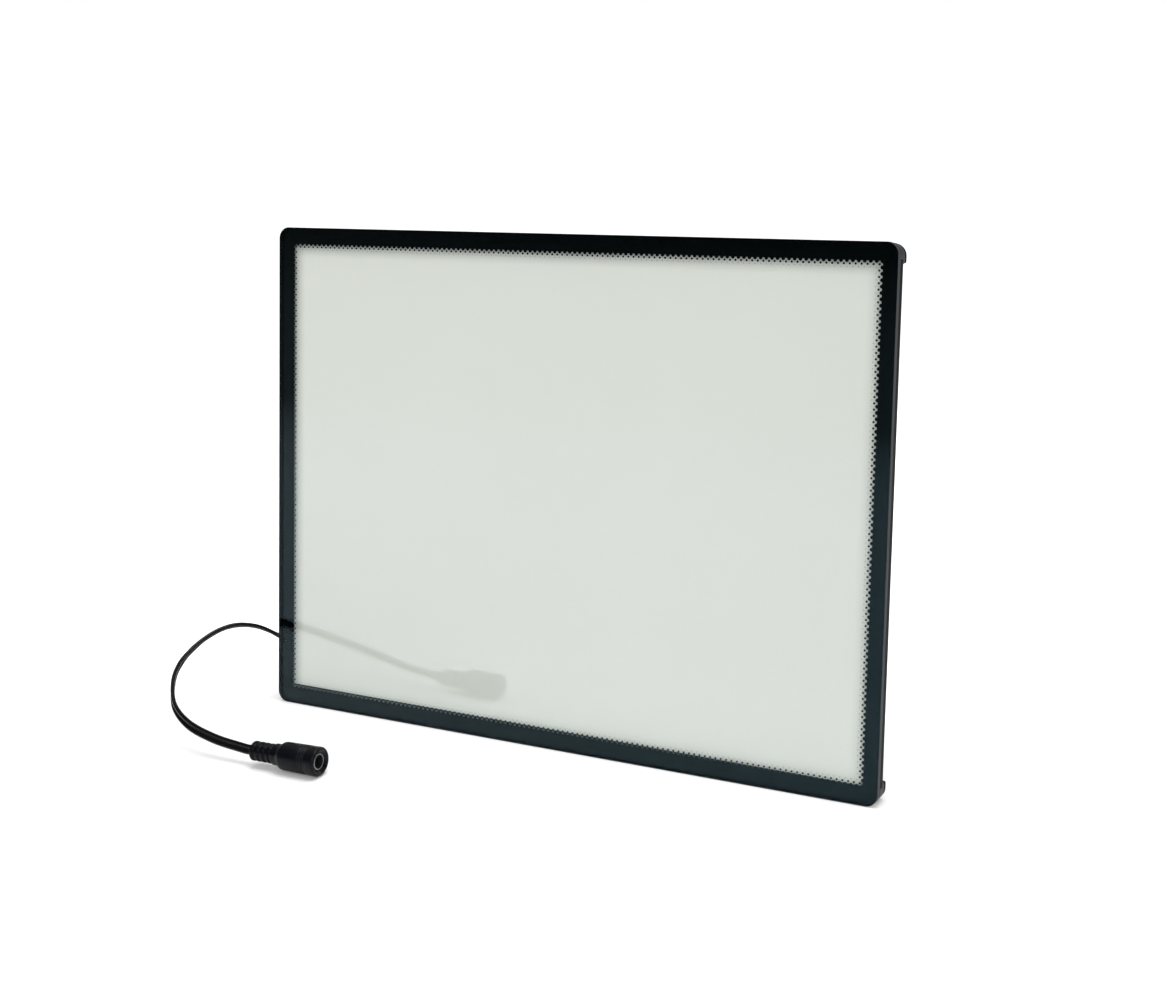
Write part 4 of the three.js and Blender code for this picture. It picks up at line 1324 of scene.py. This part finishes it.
# %% [markdown]
# The section is 4.3 mm wide and 1.9 mm thick. At the grommet its broad side stands upright, over
# the arch it lies nearly flat, and down to the socket it turns upright again. The tilt of the
# curve's points does that, from a short list of turns at places along the lead.

# %% Section and turns of the lead
CORE_RADIUS = 0.00094
CORE_OFFSET = 0.00122
WEB_HALF = 0.00028
CORE_STEPS = 12
LEAD_TURNS = [
    (0.000, 90),
    (0.012, 32),
    (0.028, 15),
    (0.040, 20),
    (0.052, 30),
    (0.064, 41),
    (0.076, 56),
    (0.088, 76),
    (0.100, 88),
    (0.120, 84),
    (0.145, 66),
    (0.170, 62),
]


def figure_of_eight():
    """The lead's section: two round cores joined by a thin web."""
    cut_angle = math.asin(WEB_HALF / CORE_RADIUS)
    right = []
    for step in range(CORE_STEPS + 1):
        angle = -math.pi + cut_angle + (2 * math.pi - 2 * cut_angle) * step / CORE_STEPS
        right.append((CORE_OFFSET + CORE_RADIUS * math.cos(angle), CORE_RADIUS * math.sin(angle)))
    left = [(-x, -y) for x, y in right]
    return right + left


def turn_at(place):
    """The section's turn in radians at a place along the lead, smooth between the listed ones."""
    for (low, first), (high, second) in zip(LEAD_TURNS, LEAD_TURNS[1:]):
        if place <= high:
            t = max(0, (place - low) / (high - low))
            return math.radians(first + (second - first) * t * t * (3 - 2 * t))
    return math.radians(LEAD_TURNS[-1][1])


# %% [markdown]
# The route and the section become curves, which stay out of the scene and only feed the tree. The
# route runs a little way into the socket's tail, so that no gap shows there.

# %% Piece: flat twin lead
INTO_SOCKET = 0.0012


def new_curve(name, points, cyclic=False):
    """An object with one poly spline through the points."""
    data = bpy.data.curves.new(name, "CURVE")
    data.dimensions = "3D"
    spline = data.splines.new("POLY")
    spline.points.add(len(points) - 1)
    for target, point in zip(spline.points, points):
        target.co = (*point, 1)
    spline.use_cyclic_u = cyclic
    return bpy.data.objects.new(name, data)


lead_route = lead_line[:-1] + [lead_end + SOCKET_ALONG * (LEAD_EXIT_GAP + INTO_SOCKET)]
section_curve = new_curve("lead_section", [(x, y, 0) for x, y in figure_of_eight()], True)
route_curve = new_curve("lead_route", lead_route)
travelled = 0.0
for index, point in enumerate(route_curve.data.splines[0].points):
    if index:
        travelled += (lead_route[index] - lead_route[index - 1]).length
    point.tilt = turn_at(travelled)

lead = run_tree(
    "flat_lead", sweep_tree, {"Route": route_curve, "Section": section_curve, "Skin": lead_skin}
)
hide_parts("power_lead")
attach(lead, "panel_body")
print("lead faces:", len(lead.data.polygons))

# %% [markdown]
# ## The power socket
# The socket is an in-line barrel jack: soft plastic moulded round a metal sleeve. All its pieces
# are round, so each is a profile, a list of places along the axis with a radius in mm, that a
# helper spins like a lathe, with far more steps than the solids have.

# %% Helper: turned pieces
TURNED_STEPS = 96


def turned_piece(name, profile, material, segments=TURNED_STEPS):
    """Spins (along, radius) points in mm round the socket's axis."""
    up = Vector((0, 0, 1))
    across = up.cross(SOCKET_ALONG)
    points, rings = [], []
    for along_mm, radius_mm in profile:
        middle = SOCKET_TAIL + SOCKET_ALONG * (along_mm * MM)
        if radius_mm == 0:
            points.append(middle)
            rings.append([len(points) - 1] * segments)
            continue
        ring = []
        for step in range(segments):
            angle = 2 * math.pi * step / segments
            offset = across * math.cos(angle) + up * math.sin(angle)
            points.append(middle + offset * (radius_mm * MM))
            ring.append(len(points) - 1)
        rings.append(ring)
    faces = []
    for first, second in zip(rings, rings[1:]):
        for i in range(segments):
            j = (i + 1) % segments
            corner = [first[j], first[i], second[i], second[j]]
            face = [v for k, v in enumerate(corner) if v != corner[k - 1]]
            if len(face) > 2:
                faces.append(face)
    piece = make_piece(name, points, faces, material, smooth=True)
    work = bmesh.new()
    work.from_mesh(piece.data)
    bmesh.ops.recalc_face_normals(work, faces=work.faces)
    work.to_mesh(piece.data)
    work.free()
    return piece


def rounded_step(along, radius, to_along, to_radius, steps):
    """Points of a quarter round between two places of a profile."""
    made = []
    for step in range(steps + 1):
        angle = math.pi / 2 * step / steps
        made.append(
            (
                along + (to_along - along) * math.sin(angle),
                radius + (to_radius - radius) * (1 - math.cos(angle)),
            )
        )
    return made


print("steps round the socket:", TURNED_STEPS)

# %% [markdown]
# The tail is a strain relief with four ribs, a shoulder leads to the barrel, three fine rings give
# grip, and the rim is rounded. Each rib and each ring has small rounded edges of its own, given as
# steps along the axis with how far they lie under or over the surface there.

# %% Sizes of the socket in mm
SOCKET_LENGTH = 35.0
TAIL_RADIUS = 4.3
NECK_RADIUS = 4.7
BARREL_RADIUS = 6.15
NECK_END = 14.2
SHOULDER_END = 16.6
RIM_RADIUS = 6.4
NECK_FROM = 11.45
RIB_COUNT = 4
RIB_PITCH = 2.8
RIB_DEPTH = 0.55
RIB_SHAPE = [
    (0.34, -0.30),
    (0.42, -0.08),
    (0.62, 0.0),
    (1.48, 0.0),
    (1.68, -0.08),
    (1.78, -0.30),
    (1.84, -RIB_DEPTH),
    (RIB_PITCH, -RIB_DEPTH),
]
RING_AT = (26.5, 27.8, 29.1)
RING_SHAPE = [(-0.08, 0.0), (0.06, -0.05), (0.22, -0.2), (0.42, -0.2), (0.58, -0.03), (0.72, 0.03)]
RIM_ROUND = 1.1
RIM_STEPS = 8
SOCKET_BORE = 3.6
MOUTH_RADIUS = 5.0
MOUTH_DEPTH = 1.15
MOUTH_EDGE = 0.1
BORE_DEPTH = 10.0
TAIL_END_RADIUS = TAIL_RADIUS - 1.0
TAIL_END_ROUND = 0.45
print("socket length and diameter in mm:", SOCKET_LENGTH, 2 * RIM_RADIUS)

# %% [markdown]
# The profile starts at the tail's end, runs along the outside to the rim, and back down the mouth
# and the bore to the axis. Where it meets the axis, the helper closes it.

# %% Piece: socket body
profile = [(0, 0), (0, TAIL_END_RADIUS)]
profile += rounded_step(0.0, TAIL_END_RADIUS, TAIL_END_ROUND, TAIL_END_RADIUS + TAIL_END_ROUND, 3)
for rib in range(RIB_COUNT):
    profile += [(rib * RIB_PITCH + ahead, TAIL_RADIUS + over) for ahead, over in RIB_SHAPE]
profile += [(NECK_FROM, NECK_RADIUS - 0.18), (NECK_FROM + 0.15, NECK_RADIUS - 0.04)]
profile += [(NECK_FROM + 0.45, NECK_RADIUS), (NECK_END - 0.3, NECK_RADIUS)]
profile += [(NECK_END + 0.15, NECK_RADIUS + 0.08)]
profile += [(SHOULDER_END - 0.5, BARREL_RADIUS - 0.26), (SHOULDER_END - 0.1, BARREL_RADIUS - 0.08)]
profile += [(SHOULDER_END + 0.5, BARREL_RADIUS)]
for at in RING_AT:
    share = (at - SHOULDER_END) / (SOCKET_LENGTH - RIM_ROUND - SHOULDER_END)
    radius = BARREL_RADIUS + (RIM_RADIUS - BARREL_RADIUS) * share
    profile += [(at + ahead, radius + over) for ahead, over in RING_SHAPE]
rim_start = SOCKET_LENGTH - RIM_ROUND
profile += rounded_step(rim_start, RIM_RADIUS, SOCKET_LENGTH, RIM_RADIUS - RIM_ROUND, RIM_STEPS)
profile += [(SOCKET_LENGTH, MOUTH_RADIUS + MOUTH_EDGE), (SOCKET_LENGTH - 0.08, MOUTH_RADIUS)]
profile += [(SOCKET_LENGTH - MOUTH_DEPTH, SOCKET_BORE + MOUTH_EDGE)]
profile += [(SOCKET_LENGTH - MOUTH_DEPTH - MOUTH_EDGE, SOCKET_BORE)]
profile += [(SOCKET_LENGTH - BORE_DEPTH, SOCKET_BORE), (SOCKET_LENGTH - BORE_DEPTH, 0)]
socket_body = turned_piece("socket_body", profile, socket_plastic)
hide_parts("jack_body")
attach(socket_body, "panel_body")
print("socket faces:", len(socket_body.data.polygons))

# %% [markdown]
# Inside the mouth sits a dull nickel sleeve. Its rim is the grey ring in the photograph, so it gets
# a rounded lip of its own. Its bore is dark in the photograph, so the faces that look at the axis
# get a dark colour that is painted shade for the shadow in the bore.

# %% Piece: sleeve
SLEEVE_OUTER = 3.5
SLEEVE_INNER = 3.0
SLEEVE_RECESS = 1.0
STACK_GAP = 0.1
INWARDS = -0.9

sleeve_back = SOCKET_LENGTH - BORE_DEPTH + STACK_GAP
sleeve_front = SOCKET_LENGTH - SLEEVE_RECESS
sleeve = turned_piece(
    "sleeve",
    [
        (sleeve_back, SLEEVE_OUTER),
        (sleeve_front - 0.2, SLEEVE_OUTER),
        (sleeve_front - 0.05, SLEEVE_OUTER - 0.06),
        (sleeve_front, SLEEVE_OUTER - 0.2),
        (sleeve_front, SLEEVE_INNER + 0.2),
        (sleeve_front - 0.05, SLEEVE_INNER + 0.06),
        (sleeve_front - 0.2, SLEEVE_INNER),
        (sleeve_back, SLEEVE_INNER),
        (sleeve_back, SLEEVE_OUTER),
    ],
    dull_nickel,
)
# Painted shade: the faces that look at the axis take the dark colour of the bore's shadow.
sleeve.data.materials.append(painted_shade_inside)
for face in sleeve.data.polygons:
    away_from_axis = face.center - SOCKET_TAIL
    away_from_axis -= SOCKET_ALONG * away_from_axis.dot(SOCKET_ALONG)
    if face.normal.dot(away_from_axis) < INWARDS * away_from_axis.length:
        face.material_index = 1
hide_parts("jack_sleeve")
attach(sleeve, "panel_body")
print("sleeve faces:", len(sleeve.data.polygons))

# %% [markdown]
# Inside the sleeve lie an insulating disc and the centre contact, set so far back that it stays in
# the dark. The contact's tip is drawn in to a small flat, so that a plug finds its way onto it.

# %% Pieces: insulator and contact
INSULATOR_THICKNESS = 1.5
INSULATOR_RADIUS = SLEEVE_INNER - STACK_GAP
INSULATOR_EDGE = 0.15
INSULATOR_STEPS = 64
CONTACT_RADIUS = 1.05
CONTACT_RECESS = 3.5
CONTACT_STEPS = 48

insulator_front = sleeve_back + INSULATOR_THICKNESS
insulator = turned_piece(
    "insulator",
    [
        (sleeve_back, 0),
        (sleeve_back, INSULATOR_RADIUS),
        (insulator_front - INSULATOR_EDGE, INSULATOR_RADIUS),
        (insulator_front, INSULATOR_RADIUS - INSULATOR_EDGE),
        (insulator_front, 0),
    ],
    socket_plastic,
    INSULATOR_STEPS,
)
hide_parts("jack_insulator")
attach(insulator, "panel_body")
contact_start = insulator_front + STACK_GAP
contact_end = SOCKET_LENGTH - CONTACT_RECESS
contact = turned_piece(
    "contact",
    [
        (contact_start, 0),
        (contact_start, CONTACT_RADIUS),
        (contact_end - 0.6, CONTACT_RADIUS),
        (contact_end - 0.25, 0.93),
        (contact_end - 0.08, 0.7),
        (contact_end, 0.4),
        (contact_end, 0),
    ],
    brass,
    CONTACT_STEPS,
)
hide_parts("jack_contact")
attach(contact, "panel_body")
print("contact faces:", len(contact.data.polygons))

# %% [markdown]
# The lead is seen from the panel's edge to the socket, so the route is its whole length.

# %% [markdown]
# ## The back
# Behind the panel are the grained back sheet, the leg with its bracket, and the flat housing that
# the lead leaves by. Their solids have the right shapes, so rounded copies and finishes do most of
# the work. Each row of the list holds the solid's name, the piece's name, how far its edges are
# rounded, its finish, the body that it rides on and its material slot.

# %% Pieces: back, leg and housing
REAR_PIECES = (
    ("back_sheet", "rear_sheet", 0.0001, back_black, "panel_body", "black_sheet"),
    ("stand_bracket", "bracket", 0.0002, powder_coat, "panel_body", "black_steel"),
    ("stand_leg", "leg", 0.0002, powder_coat, "stand", "black_steel"),
    ("stand_foot", "leg_shoe", 0.0005, rubber, "stand", "black_rubber"),
    ("lead_housing", "lead_cover", 0.0003, black_plastic, "panel_body", "black_plastic"),
    ("lead_grommet", "lead_sleeve", 0.0001, rubber, "panel_body", "black_rubber"),
    ("stand_pin", "leg_pin", 0.0002, nickel, "panel_body", "plated_steel"),
)
for node, name, rounding, material, body, slot_name in REAR_PIECES:
    piece = copy_of_node(node, name, rounding)
    paint(piece, material)
    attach(piece, body)
print("rear pieces:", len(REAR_PIECES))

# %% [markdown]
# The bracket is riveted on near its four corners, and the housing's lid is held by two small
# socket screws. Their places come from the solids, measured in the panel's own directions, so the
# heads stay where they belong if a solid's size changes.

# %% Helper: extent in the panel's directions


def panel_box(node):
    """A node's lowest and highest values along the panel's width, height and depth."""
    moved = [nodes[node].matrix_world @ v.co - FACE_MIDDLE for v in nodes[node].data.vertices]
    spans = [[p.dot(axis) for p in moved] for axis in (RIGHT, UP, -OUT)]
    return [min(span) for span in spans], [max(span) for span in spans]


bracket_low, bracket_high = panel_box("stand_bracket")
housing_low, housing_high = panel_box("lead_housing")
print("bracket:", [round(v / MM, 2) for v in bracket_low + bracket_high])
print("housing:", [round(v / MM, 2) for v in housing_low + housing_high])

# %% [markdown]
# The rivets' heads and the screws' heads differ only in size, so both come from one function: a
# low dome of a few rings, and a six-sided recess whose flats follow from the angle round the head.

# %% Helper: domed head
HEAD_STEPS = 24
DOME = [(1.0, 0.0), (1.0, 0.3), (0.93, 0.62), (0.72, 0.9)]
RECESS_HEIGHTS = (1.0, 0.35)


def ring_angles():
    """The angles of the points round a head."""
    return [2 * math.pi * i / HEAD_STEPS for i in range(HEAD_STEPS)]


def head_mesh(name, radius, height, recess):
    """A low domed head with a six-sided recess, rising towards negative z."""
    points = []
    for share_out, share_up in DOME:
        for angle in ring_angles():
            out = share_out * radius
            points.append((out * math.cos(angle), out * math.sin(angle), -share_up * height))
    for share_up in RECESS_HEIGHTS:
        for angle in ring_angles():
            corner = angle % (math.pi / 3) - math.pi / 6
            out = recess * math.cos(math.pi / 6) / math.cos(corner)
            points.append((out * math.cos(angle), out * math.sin(angle), -share_up * height))
    faces = []
    last = len(DOME) + len(RECESS_HEIGHTS) - 1
    for ring in range(last):
        for i in range(HEAD_STEPS):
            j = (i + 1) % HEAD_STEPS
            a, b = ring * HEAD_STEPS, (ring + 1) * HEAD_STEPS
            faces.append([a + j, a + i, b + i, b + j])
    faces.append([last * HEAD_STEPS + i for i in reversed(range(HEAD_STEPS))])
    mesh = bpy.data.meshes.new(name)
    mesh.from_pydata(points, [], faces)
    return mesh


print("points round a head:", HEAD_STEPS)

# %% [markdown]
# The tree sets a head on every point of a places mesh. A Random Value node with a fixed seed turns
# each one a little differently, because nobody lines up the recesses of rivets and screws.

# %% Geometry Nodes: heads on listed places
TURN_SEED = 7
LARGEST_TURN = 1.0

heads_tree, start, end = geometry_group(
    "Heads On Places",
    [
        ("Places", "NodeSocketObject", None),
        ("Head", "NodeSocketObject", None),
        ("Metal", "NodeSocketMaterial", None),
    ],
)
places = heads_tree.nodes.new("GeometryNodeObjectInfo")
head = heads_tree.nodes.new("GeometryNodeObjectInfo")
heads_tree.links.new(start.outputs["Places"], places.inputs["Object"])
heads_tree.links.new(start.outputs["Head"], head.inputs["Object"])
spread = heads_tree.nodes.new("GeometryNodeInstanceOnPoints")
heads_tree.links.new(places.outputs["Geometry"], spread.inputs["Points"])
heads_tree.links.new(head.outputs["Geometry"], spread.inputs["Instance"])
turned = heads_tree.nodes.new("FunctionNodeRandomValue")
turned.data_type = "FLOAT"
turned.inputs["Seed"].default_value = TURN_SEED
turned.inputs[3].default_value = LARGEST_TURN
turn_parts = heads_tree.nodes.new("ShaderNodeCombineXYZ")
heads_tree.links.new(turned.outputs[1], turn_parts.inputs["Z"])
heads_tree.links.new(turn_parts.outputs[0], spread.inputs["Rotation"])
real = heads_tree.nodes.new("GeometryNodeRealizeInstances")
heads_tree.links.new(spread.outputs[0], real.inputs[0])
coated = heads_tree.nodes.new("GeometryNodeSetMaterial")
heads_tree.links.new(real.outputs[0], coated.inputs["Geometry"])
heads_tree.links.new(start.outputs["Metal"], coated.inputs["Material"])
heads_tree.links.new(coated.outputs[0], end.inputs[0])
print("group:", heads_tree.name)

# %% [markdown]
# The heads lie in the panel's own plane, where z counts towards the viewer, so the back of the
# bracket and of the lid are at negative z. One matrix takes them to the panel's back.

# %% Pieces: rivets and screws
RIVET_INSET = 0.0034
SCREW_INSET = 0.0042
BRACKET_THICKNESS = 0.0009
RIVET_HEAD = (0.0016, 0.0007, 0.0006)
SCREW_HEAD = (0.0015, 0.0006, 0.0007)

bracket_back = panel_box("back_sheet")[1][2] + BRACKET_THICKNESS
housing_middle = (housing_low[1] + housing_high[1]) / 2
rivet_places = [
    (x, y, -bracket_back)
    for x in (bracket_low[0] + RIVET_INSET, bracket_high[0] - RIVET_INSET)
    for y in (bracket_low[1] + RIVET_INSET, bracket_high[1] - RIVET_INSET)
]
screw_places = [
    (x, housing_middle, -housing_high[2])
    for x in (housing_low[0] + SCREW_INSET, housing_high[0] - SCREW_INSET)
]
for label, head_sizes, spots in (
    ("bracket_rivets", RIVET_HEAD, rivet_places),
    ("housing_screws", SCREW_HEAD, screw_places),
):
    spot_mesh = bpy.data.meshes.new(label + "_places")
    spot_mesh.from_pydata(spots, [], [])
    spot_object = bpy.data.objects.new(label + "_places", spot_mesh)
    head_object = bpy.data.objects.new(label + "_head", head_mesh(label, *head_sizes))
    heads = run_tree(
        label, heads_tree, {"Places": spot_object, "Head": head_object, "Metal": nickel}
    )
    heads.data.transform(Matrix.Translation(FACE_MIDDLE) @ PANEL_TURN)
    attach(heads, "panel_body")
    print(label, "faces:", len(heads.data.polygons))

# %% [markdown]
# ## Inside the panel
# The light guide, its reflector, the LED strips and the wire can't be seen until the cover comes
# off, and then mostly through gaps, so their own solids stay and get a finish each. The guide is
# clear acrylic with a fine pattern of white dots that lets the light out. A Voronoi texture without
# randomness is a regular grid of cells, and the distance to a cell's middle draws its dot.

# %% Material: light guide
GUIDE_DOT_SCALE = 700.0
GUIDE_DOT_EDGE = (0.28, 0.34)
GUIDE_ROUGHNESS = (0.05, 0.6)
ACRYLIC_COLOUR = (0.86, 0.91, 0.88)
WHITE_DOT = (0.95, 0.95, 0.94)

guide = bpy.data.materials.new("Dotted acrylic")
guide.use_nodes = True
tree = guide.node_tree
shader = tree.nodes["Principled BSDF"]
shader.inputs["Transmission Weight"].default_value = 0.6
shader.inputs["IOR"].default_value = 1.49
place = tree.nodes.new("ShaderNodeTexCoord").outputs["Object"]
dots_texture = tree.nodes.new("ShaderNodeTexVoronoi")
dots_texture.inputs["Scale"].default_value = GUIDE_DOT_SCALE
dots_texture.inputs["Randomness"].default_value = 0.0
tree.links.new(place, dots_texture.inputs["Vector"])
spot = range_node(tree, dots_texture.outputs["Distance"], *GUIDE_DOT_EDGE, 1.0, 0.0)
colour = mix_colours(tree, spot, ACRYLIC_COLOUR, WHITE_DOT)
tree.links.new(colour, shader.inputs["Base Color"])
roughness = range_node(tree, spot, 0.0, 1.0, *GUIDE_ROUGHNESS, False)
tree.links.new(roughness, shader.inputs["Roughness"])
print("material:", guide.name)

# %% [markdown]
# The solids that stay as they are get their finishes by name. The magnets in the corner blocks and
# the steel discs behind the border that they hold are both nickel plated.

# %% Finishes on the inner solids
paint(nodes["light_guide"], guide)
paint(nodes["reflector_sheet"], film_white)
paint(nodes["link_wire"], wire_red)
for name in ("top", "bottom"):
    paint(nodes[f"led_strip_{name}"], board_white)
for corner in CORNERS:
    paint(nodes[f"cover_keeper_{corner}"], nickel)
    paint(nodes[f"magnet_{corner}"], nickel)
print("inner finishes done")

# %% [markdown]
# ## Floor and light
# The photograph has a white ground that runs out to white, with grey shadows only close to what
# stands on it. A pale floor adds a little light of its own for rays from the camera, least beside
# the panel and the socket, which keeps their shadows. What mirrors show is set apart from that:
# the plate mirrors a room that goes dark with distance and height, so its border goes from slate
# below to black above, and the sheet behind the plate mirrors an even white.

# %% Helpers for floor and world
BEHIND_PLATE_DEPTH = 2.5


def ray_kinds(tree):
    """Sockets that tell straight views, mirrored views and those mirrored behind the plate."""
    path = tree.nodes.new("ShaderNodeLightPath").outputs
    bounced = math_node(tree, "GREATER_THAN", path["Glossy Depth"], 0.5)
    unbounced = math_node(tree, "SUBTRACT", 1.0, bounced)
    through = path["Is Transmission Ray"]
    straight = math_node(
        tree, "MAXIMUM", path["Is Camera Ray"], math_node(tree, "MULTIPLY", through, unbounced)
    )
    mirrored = math_node(
        tree, "MAXIMUM", path["Is Glossy Ray"], math_node(tree, "MULTIPLY", through, bounced)
    )
    behind = math_node(tree, "GREATER_THAN", path["Transmission Depth"], BEHIND_PLATE_DEPTH)
    return straight, mirrored, behind


def vector_node(tree, operation, first, second=(0, 0, 0), output="Vector"):
    """A Vector Math node from a socket and a second vector, returning its output."""
    node = tree.nodes.new("ShaderNodeVectorMath")
    node.operation = operation
    tree.links.new(first, node.inputs[0])
    node.inputs[1].default_value = second
    return node.outputs[output]


def distance_to_box(tree, place, middle, half):
    """How far a point is from an upright box, as a socket."""
    moved = vector_node(tree, "SUBTRACT", place, middle)
    folded = vector_node(tree, "ABSOLUTE", moved)
    beyond = vector_node(tree, "SUBTRACT", folded, half)
    outside = vector_node(tree, "MAXIMUM", beyond)
    return vector_node(tree, "LENGTH", outside, output="Value")


print("behind the plate counts from transmission depth", BEHIND_PLATE_DEPTH)

# %% [markdown]
# The floor's own light grows with the distance from the panel and the socket, each taken as an
# upright box on the floor: least beside them, more at 10 cm, most at 80 cm. For mirrored rays the
# floor turns from a lit surface into a glow, bright nearby and dimmer towards the room's edge.

# %% Stage: floor
FLOOR_REACH = 6.0
PANEL_BOX = ((0, 0.004, 0), (0.1525, 0.012, 1))
SOCKET_BOX = ((-0.125, -0.088, 0), (0.05, 0.012, 1))
PANEL_LIFTED = 0.03
LIFT_BESIDE = 0.13
LIFT_NEAR = 0.45
LIFT_FAR = 0.80
NEAR_AT = 0.10
FAR_AT = 0.80
GLOW_FROM = (0.05, 0.30)
GLOW_FADES = (0.9, 4.5)
ROOM_EDGE_LEVEL = 0.28
FLOOR_WHITE = (0.90, 0.90, 0.90)

floor_points = [
    (x * FLOOR_REACH, y * FLOOR_REACH, 0) for x, y in ((-1, -1), (1, -1), (1, 1), (-1, 1))
]
floor_paint = bpy.data.materials.new("Pale floor")
floor_paint.use_nodes = True
tree = floor_paint.node_tree
shader = tree.nodes["Principled BSDF"]
shader.inputs["Roughness"].default_value = 0.9
shader.inputs["Specular IOR Level"].default_value = 0.1
shader.inputs["Emission Color"].default_value = (1, 1, 1, 1)

straight, mirrored, behind = ray_kinds(tree)
place = tree.nodes.new("ShaderNodeTexCoord").outputs["Object"]
by_panel = distance_to_box(tree, place, *PANEL_BOX)
by_panel = math_node(tree, "ADD", by_panel, PANEL_LIFTED)
by_socket = distance_to_box(tree, place, *SOCKET_BOX)
nearest = math_node(tree, "MINIMUM", by_panel, by_socket)
lift = range_node(tree, nearest, 0.0, NEAR_AT, LIFT_BESIDE, LIFT_NEAR)
further = range_node(tree, nearest, NEAR_AT, FAR_AT, 0.0, LIFT_FAR - LIFT_NEAR)
lift = math_node(tree, "ADD", lift, further)

away = range_node(tree, nearest, *GLOW_FROM, 0.0, 1.0)
replaced = math_node(tree, "MULTIPLY", mirrored, away)
shown = range_node(tree, nearest, *GLOW_FADES, 1.0, ROOM_EDGE_LEVEL)
shown = math_node(tree, "MAXIMUM", shown, behind)
shown = math_node(tree, "MULTIPLY", shown, replaced)
colour = mix_colours(tree, replaced, FLOOR_WHITE, (0.0, 0.0, 0.0))
tree.links.new(colour, shader.inputs["Base Color"])
strength = math_node(tree, "ADD", math_node(tree, "MULTIPLY", straight, lift), shown)
tree.links.new(strength, shader.inputs["Emission Strength"])
floor = make_piece("floor", floor_points, [(0, 1, 2, 3)], floor_paint)
if floor.data.polygons[0].normal.z < 0:
    floor.data.flip_normals()
floor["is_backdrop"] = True
print("floor normal:", [round(v, 2) for v in floor.data.polygons[0].normal])

# %% [markdown]
# The world is white for the camera and lights everything evenly. Mirrored rays see a room instead:
# dim at the horizon, nearly dark above, and no darker than its edge on the side behind the panel.

# %% Stage: world
ROOM_LIGHT = 0.40
ROOM_TOP_LEVEL = 0.03
HORIZON_BAND = (-0.02, 0.10)
REAR_BAND = (-0.3, 0.25)

world = bpy.data.worlds.new("studio")
bpy.context.scene.world = world
world.use_nodes = True
tree = world.node_tree
background = tree.nodes["Background"]
background.inputs["Color"].default_value = (1, 1, 1, 1)
direction = tree.nodes.new("ShaderNodeTexCoord")
parts = tree.nodes.new("ShaderNodeSeparateXYZ")
tree.links.new(direction.outputs["Generated"], parts.inputs[0])
room = range_node(tree, parts.outputs["Z"], *HORIZON_BAND, ROOM_EDGE_LEVEL, ROOM_TOP_LEVEL)
behind_set = range_node(tree, parts.outputs["Y"], *REAR_BAND, 0.0, ROOM_EDGE_LEVEL)
straight, mirrored, behind = ray_kinds(tree)
shown = math_node(tree, "MAXIMUM", math_node(tree, "MAXIMUM", room, behind_set), behind)
shown = math_node(tree, "MAXIMUM", math_node(tree, "MULTIPLY", shown, mirrored), straight)
seen = math_node(tree, "MAXIMUM", straight, mirrored)
lighting = math_node(tree, "MULTIPLY", math_node(tree, "SUBTRACT", 1.0, seen), ROOM_LIGHT)
tree.links.new(math_node(tree, "ADD", shown, lighting), background.inputs["Strength"])
print("world:", world.name)

# %% [markdown]
# Three large soft lamps model the shapes. The main one hangs right above, so the panel's own
# shadow stays behind it. A weak one from behind the right shows the panel's edge and blocks, and
# a large one in front on the right fills the face.

# %% Stage: lamps
LAMP_AIM = Vector((0, 0, 0.1))


def soft_lamp(name, place, size, power):
    """A square area lamp at a place that points at the panel's middle."""
    data = bpy.data.lights.new(name, "AREA")
    data.shape = "SQUARE"
    data.size = size
    data.energy = power
    lamp = bpy.data.objects.new(name, data)
    bpy.context.scene.collection.objects.link(lamp)
    lamp.location = place
    lamp.rotation_euler = (LAMP_AIM - Vector(place)).to_track_quat("-Z", "Y").to_euler()


soft_lamp("lamp_above", (0.10, 0.02, 1.45), 1.0, 16.0)
soft_lamp("lamp_right", (1.50, 0.60, 0.90), 0.9, 2.0)
soft_lamp("lamp_front", (0.75, -1.70, 1.25), 1.1, 13.0)
bpy.context.scene.view_settings.view_transform = "Standard"

# %% [markdown]
# ## Finish
# The model's box is kept from before and after the looks were added, so that the two can be
# compared.

# %% Measure and finish
looks_box = [list(corner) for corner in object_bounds()]
grown = [
    round((looks_box[1][i] - looks_box[0][i] - cad_box[1][i] + cad_box[0][i]) / MM, 2)
    for i in range(3)
]
print("growth of the box in mm:", grown)
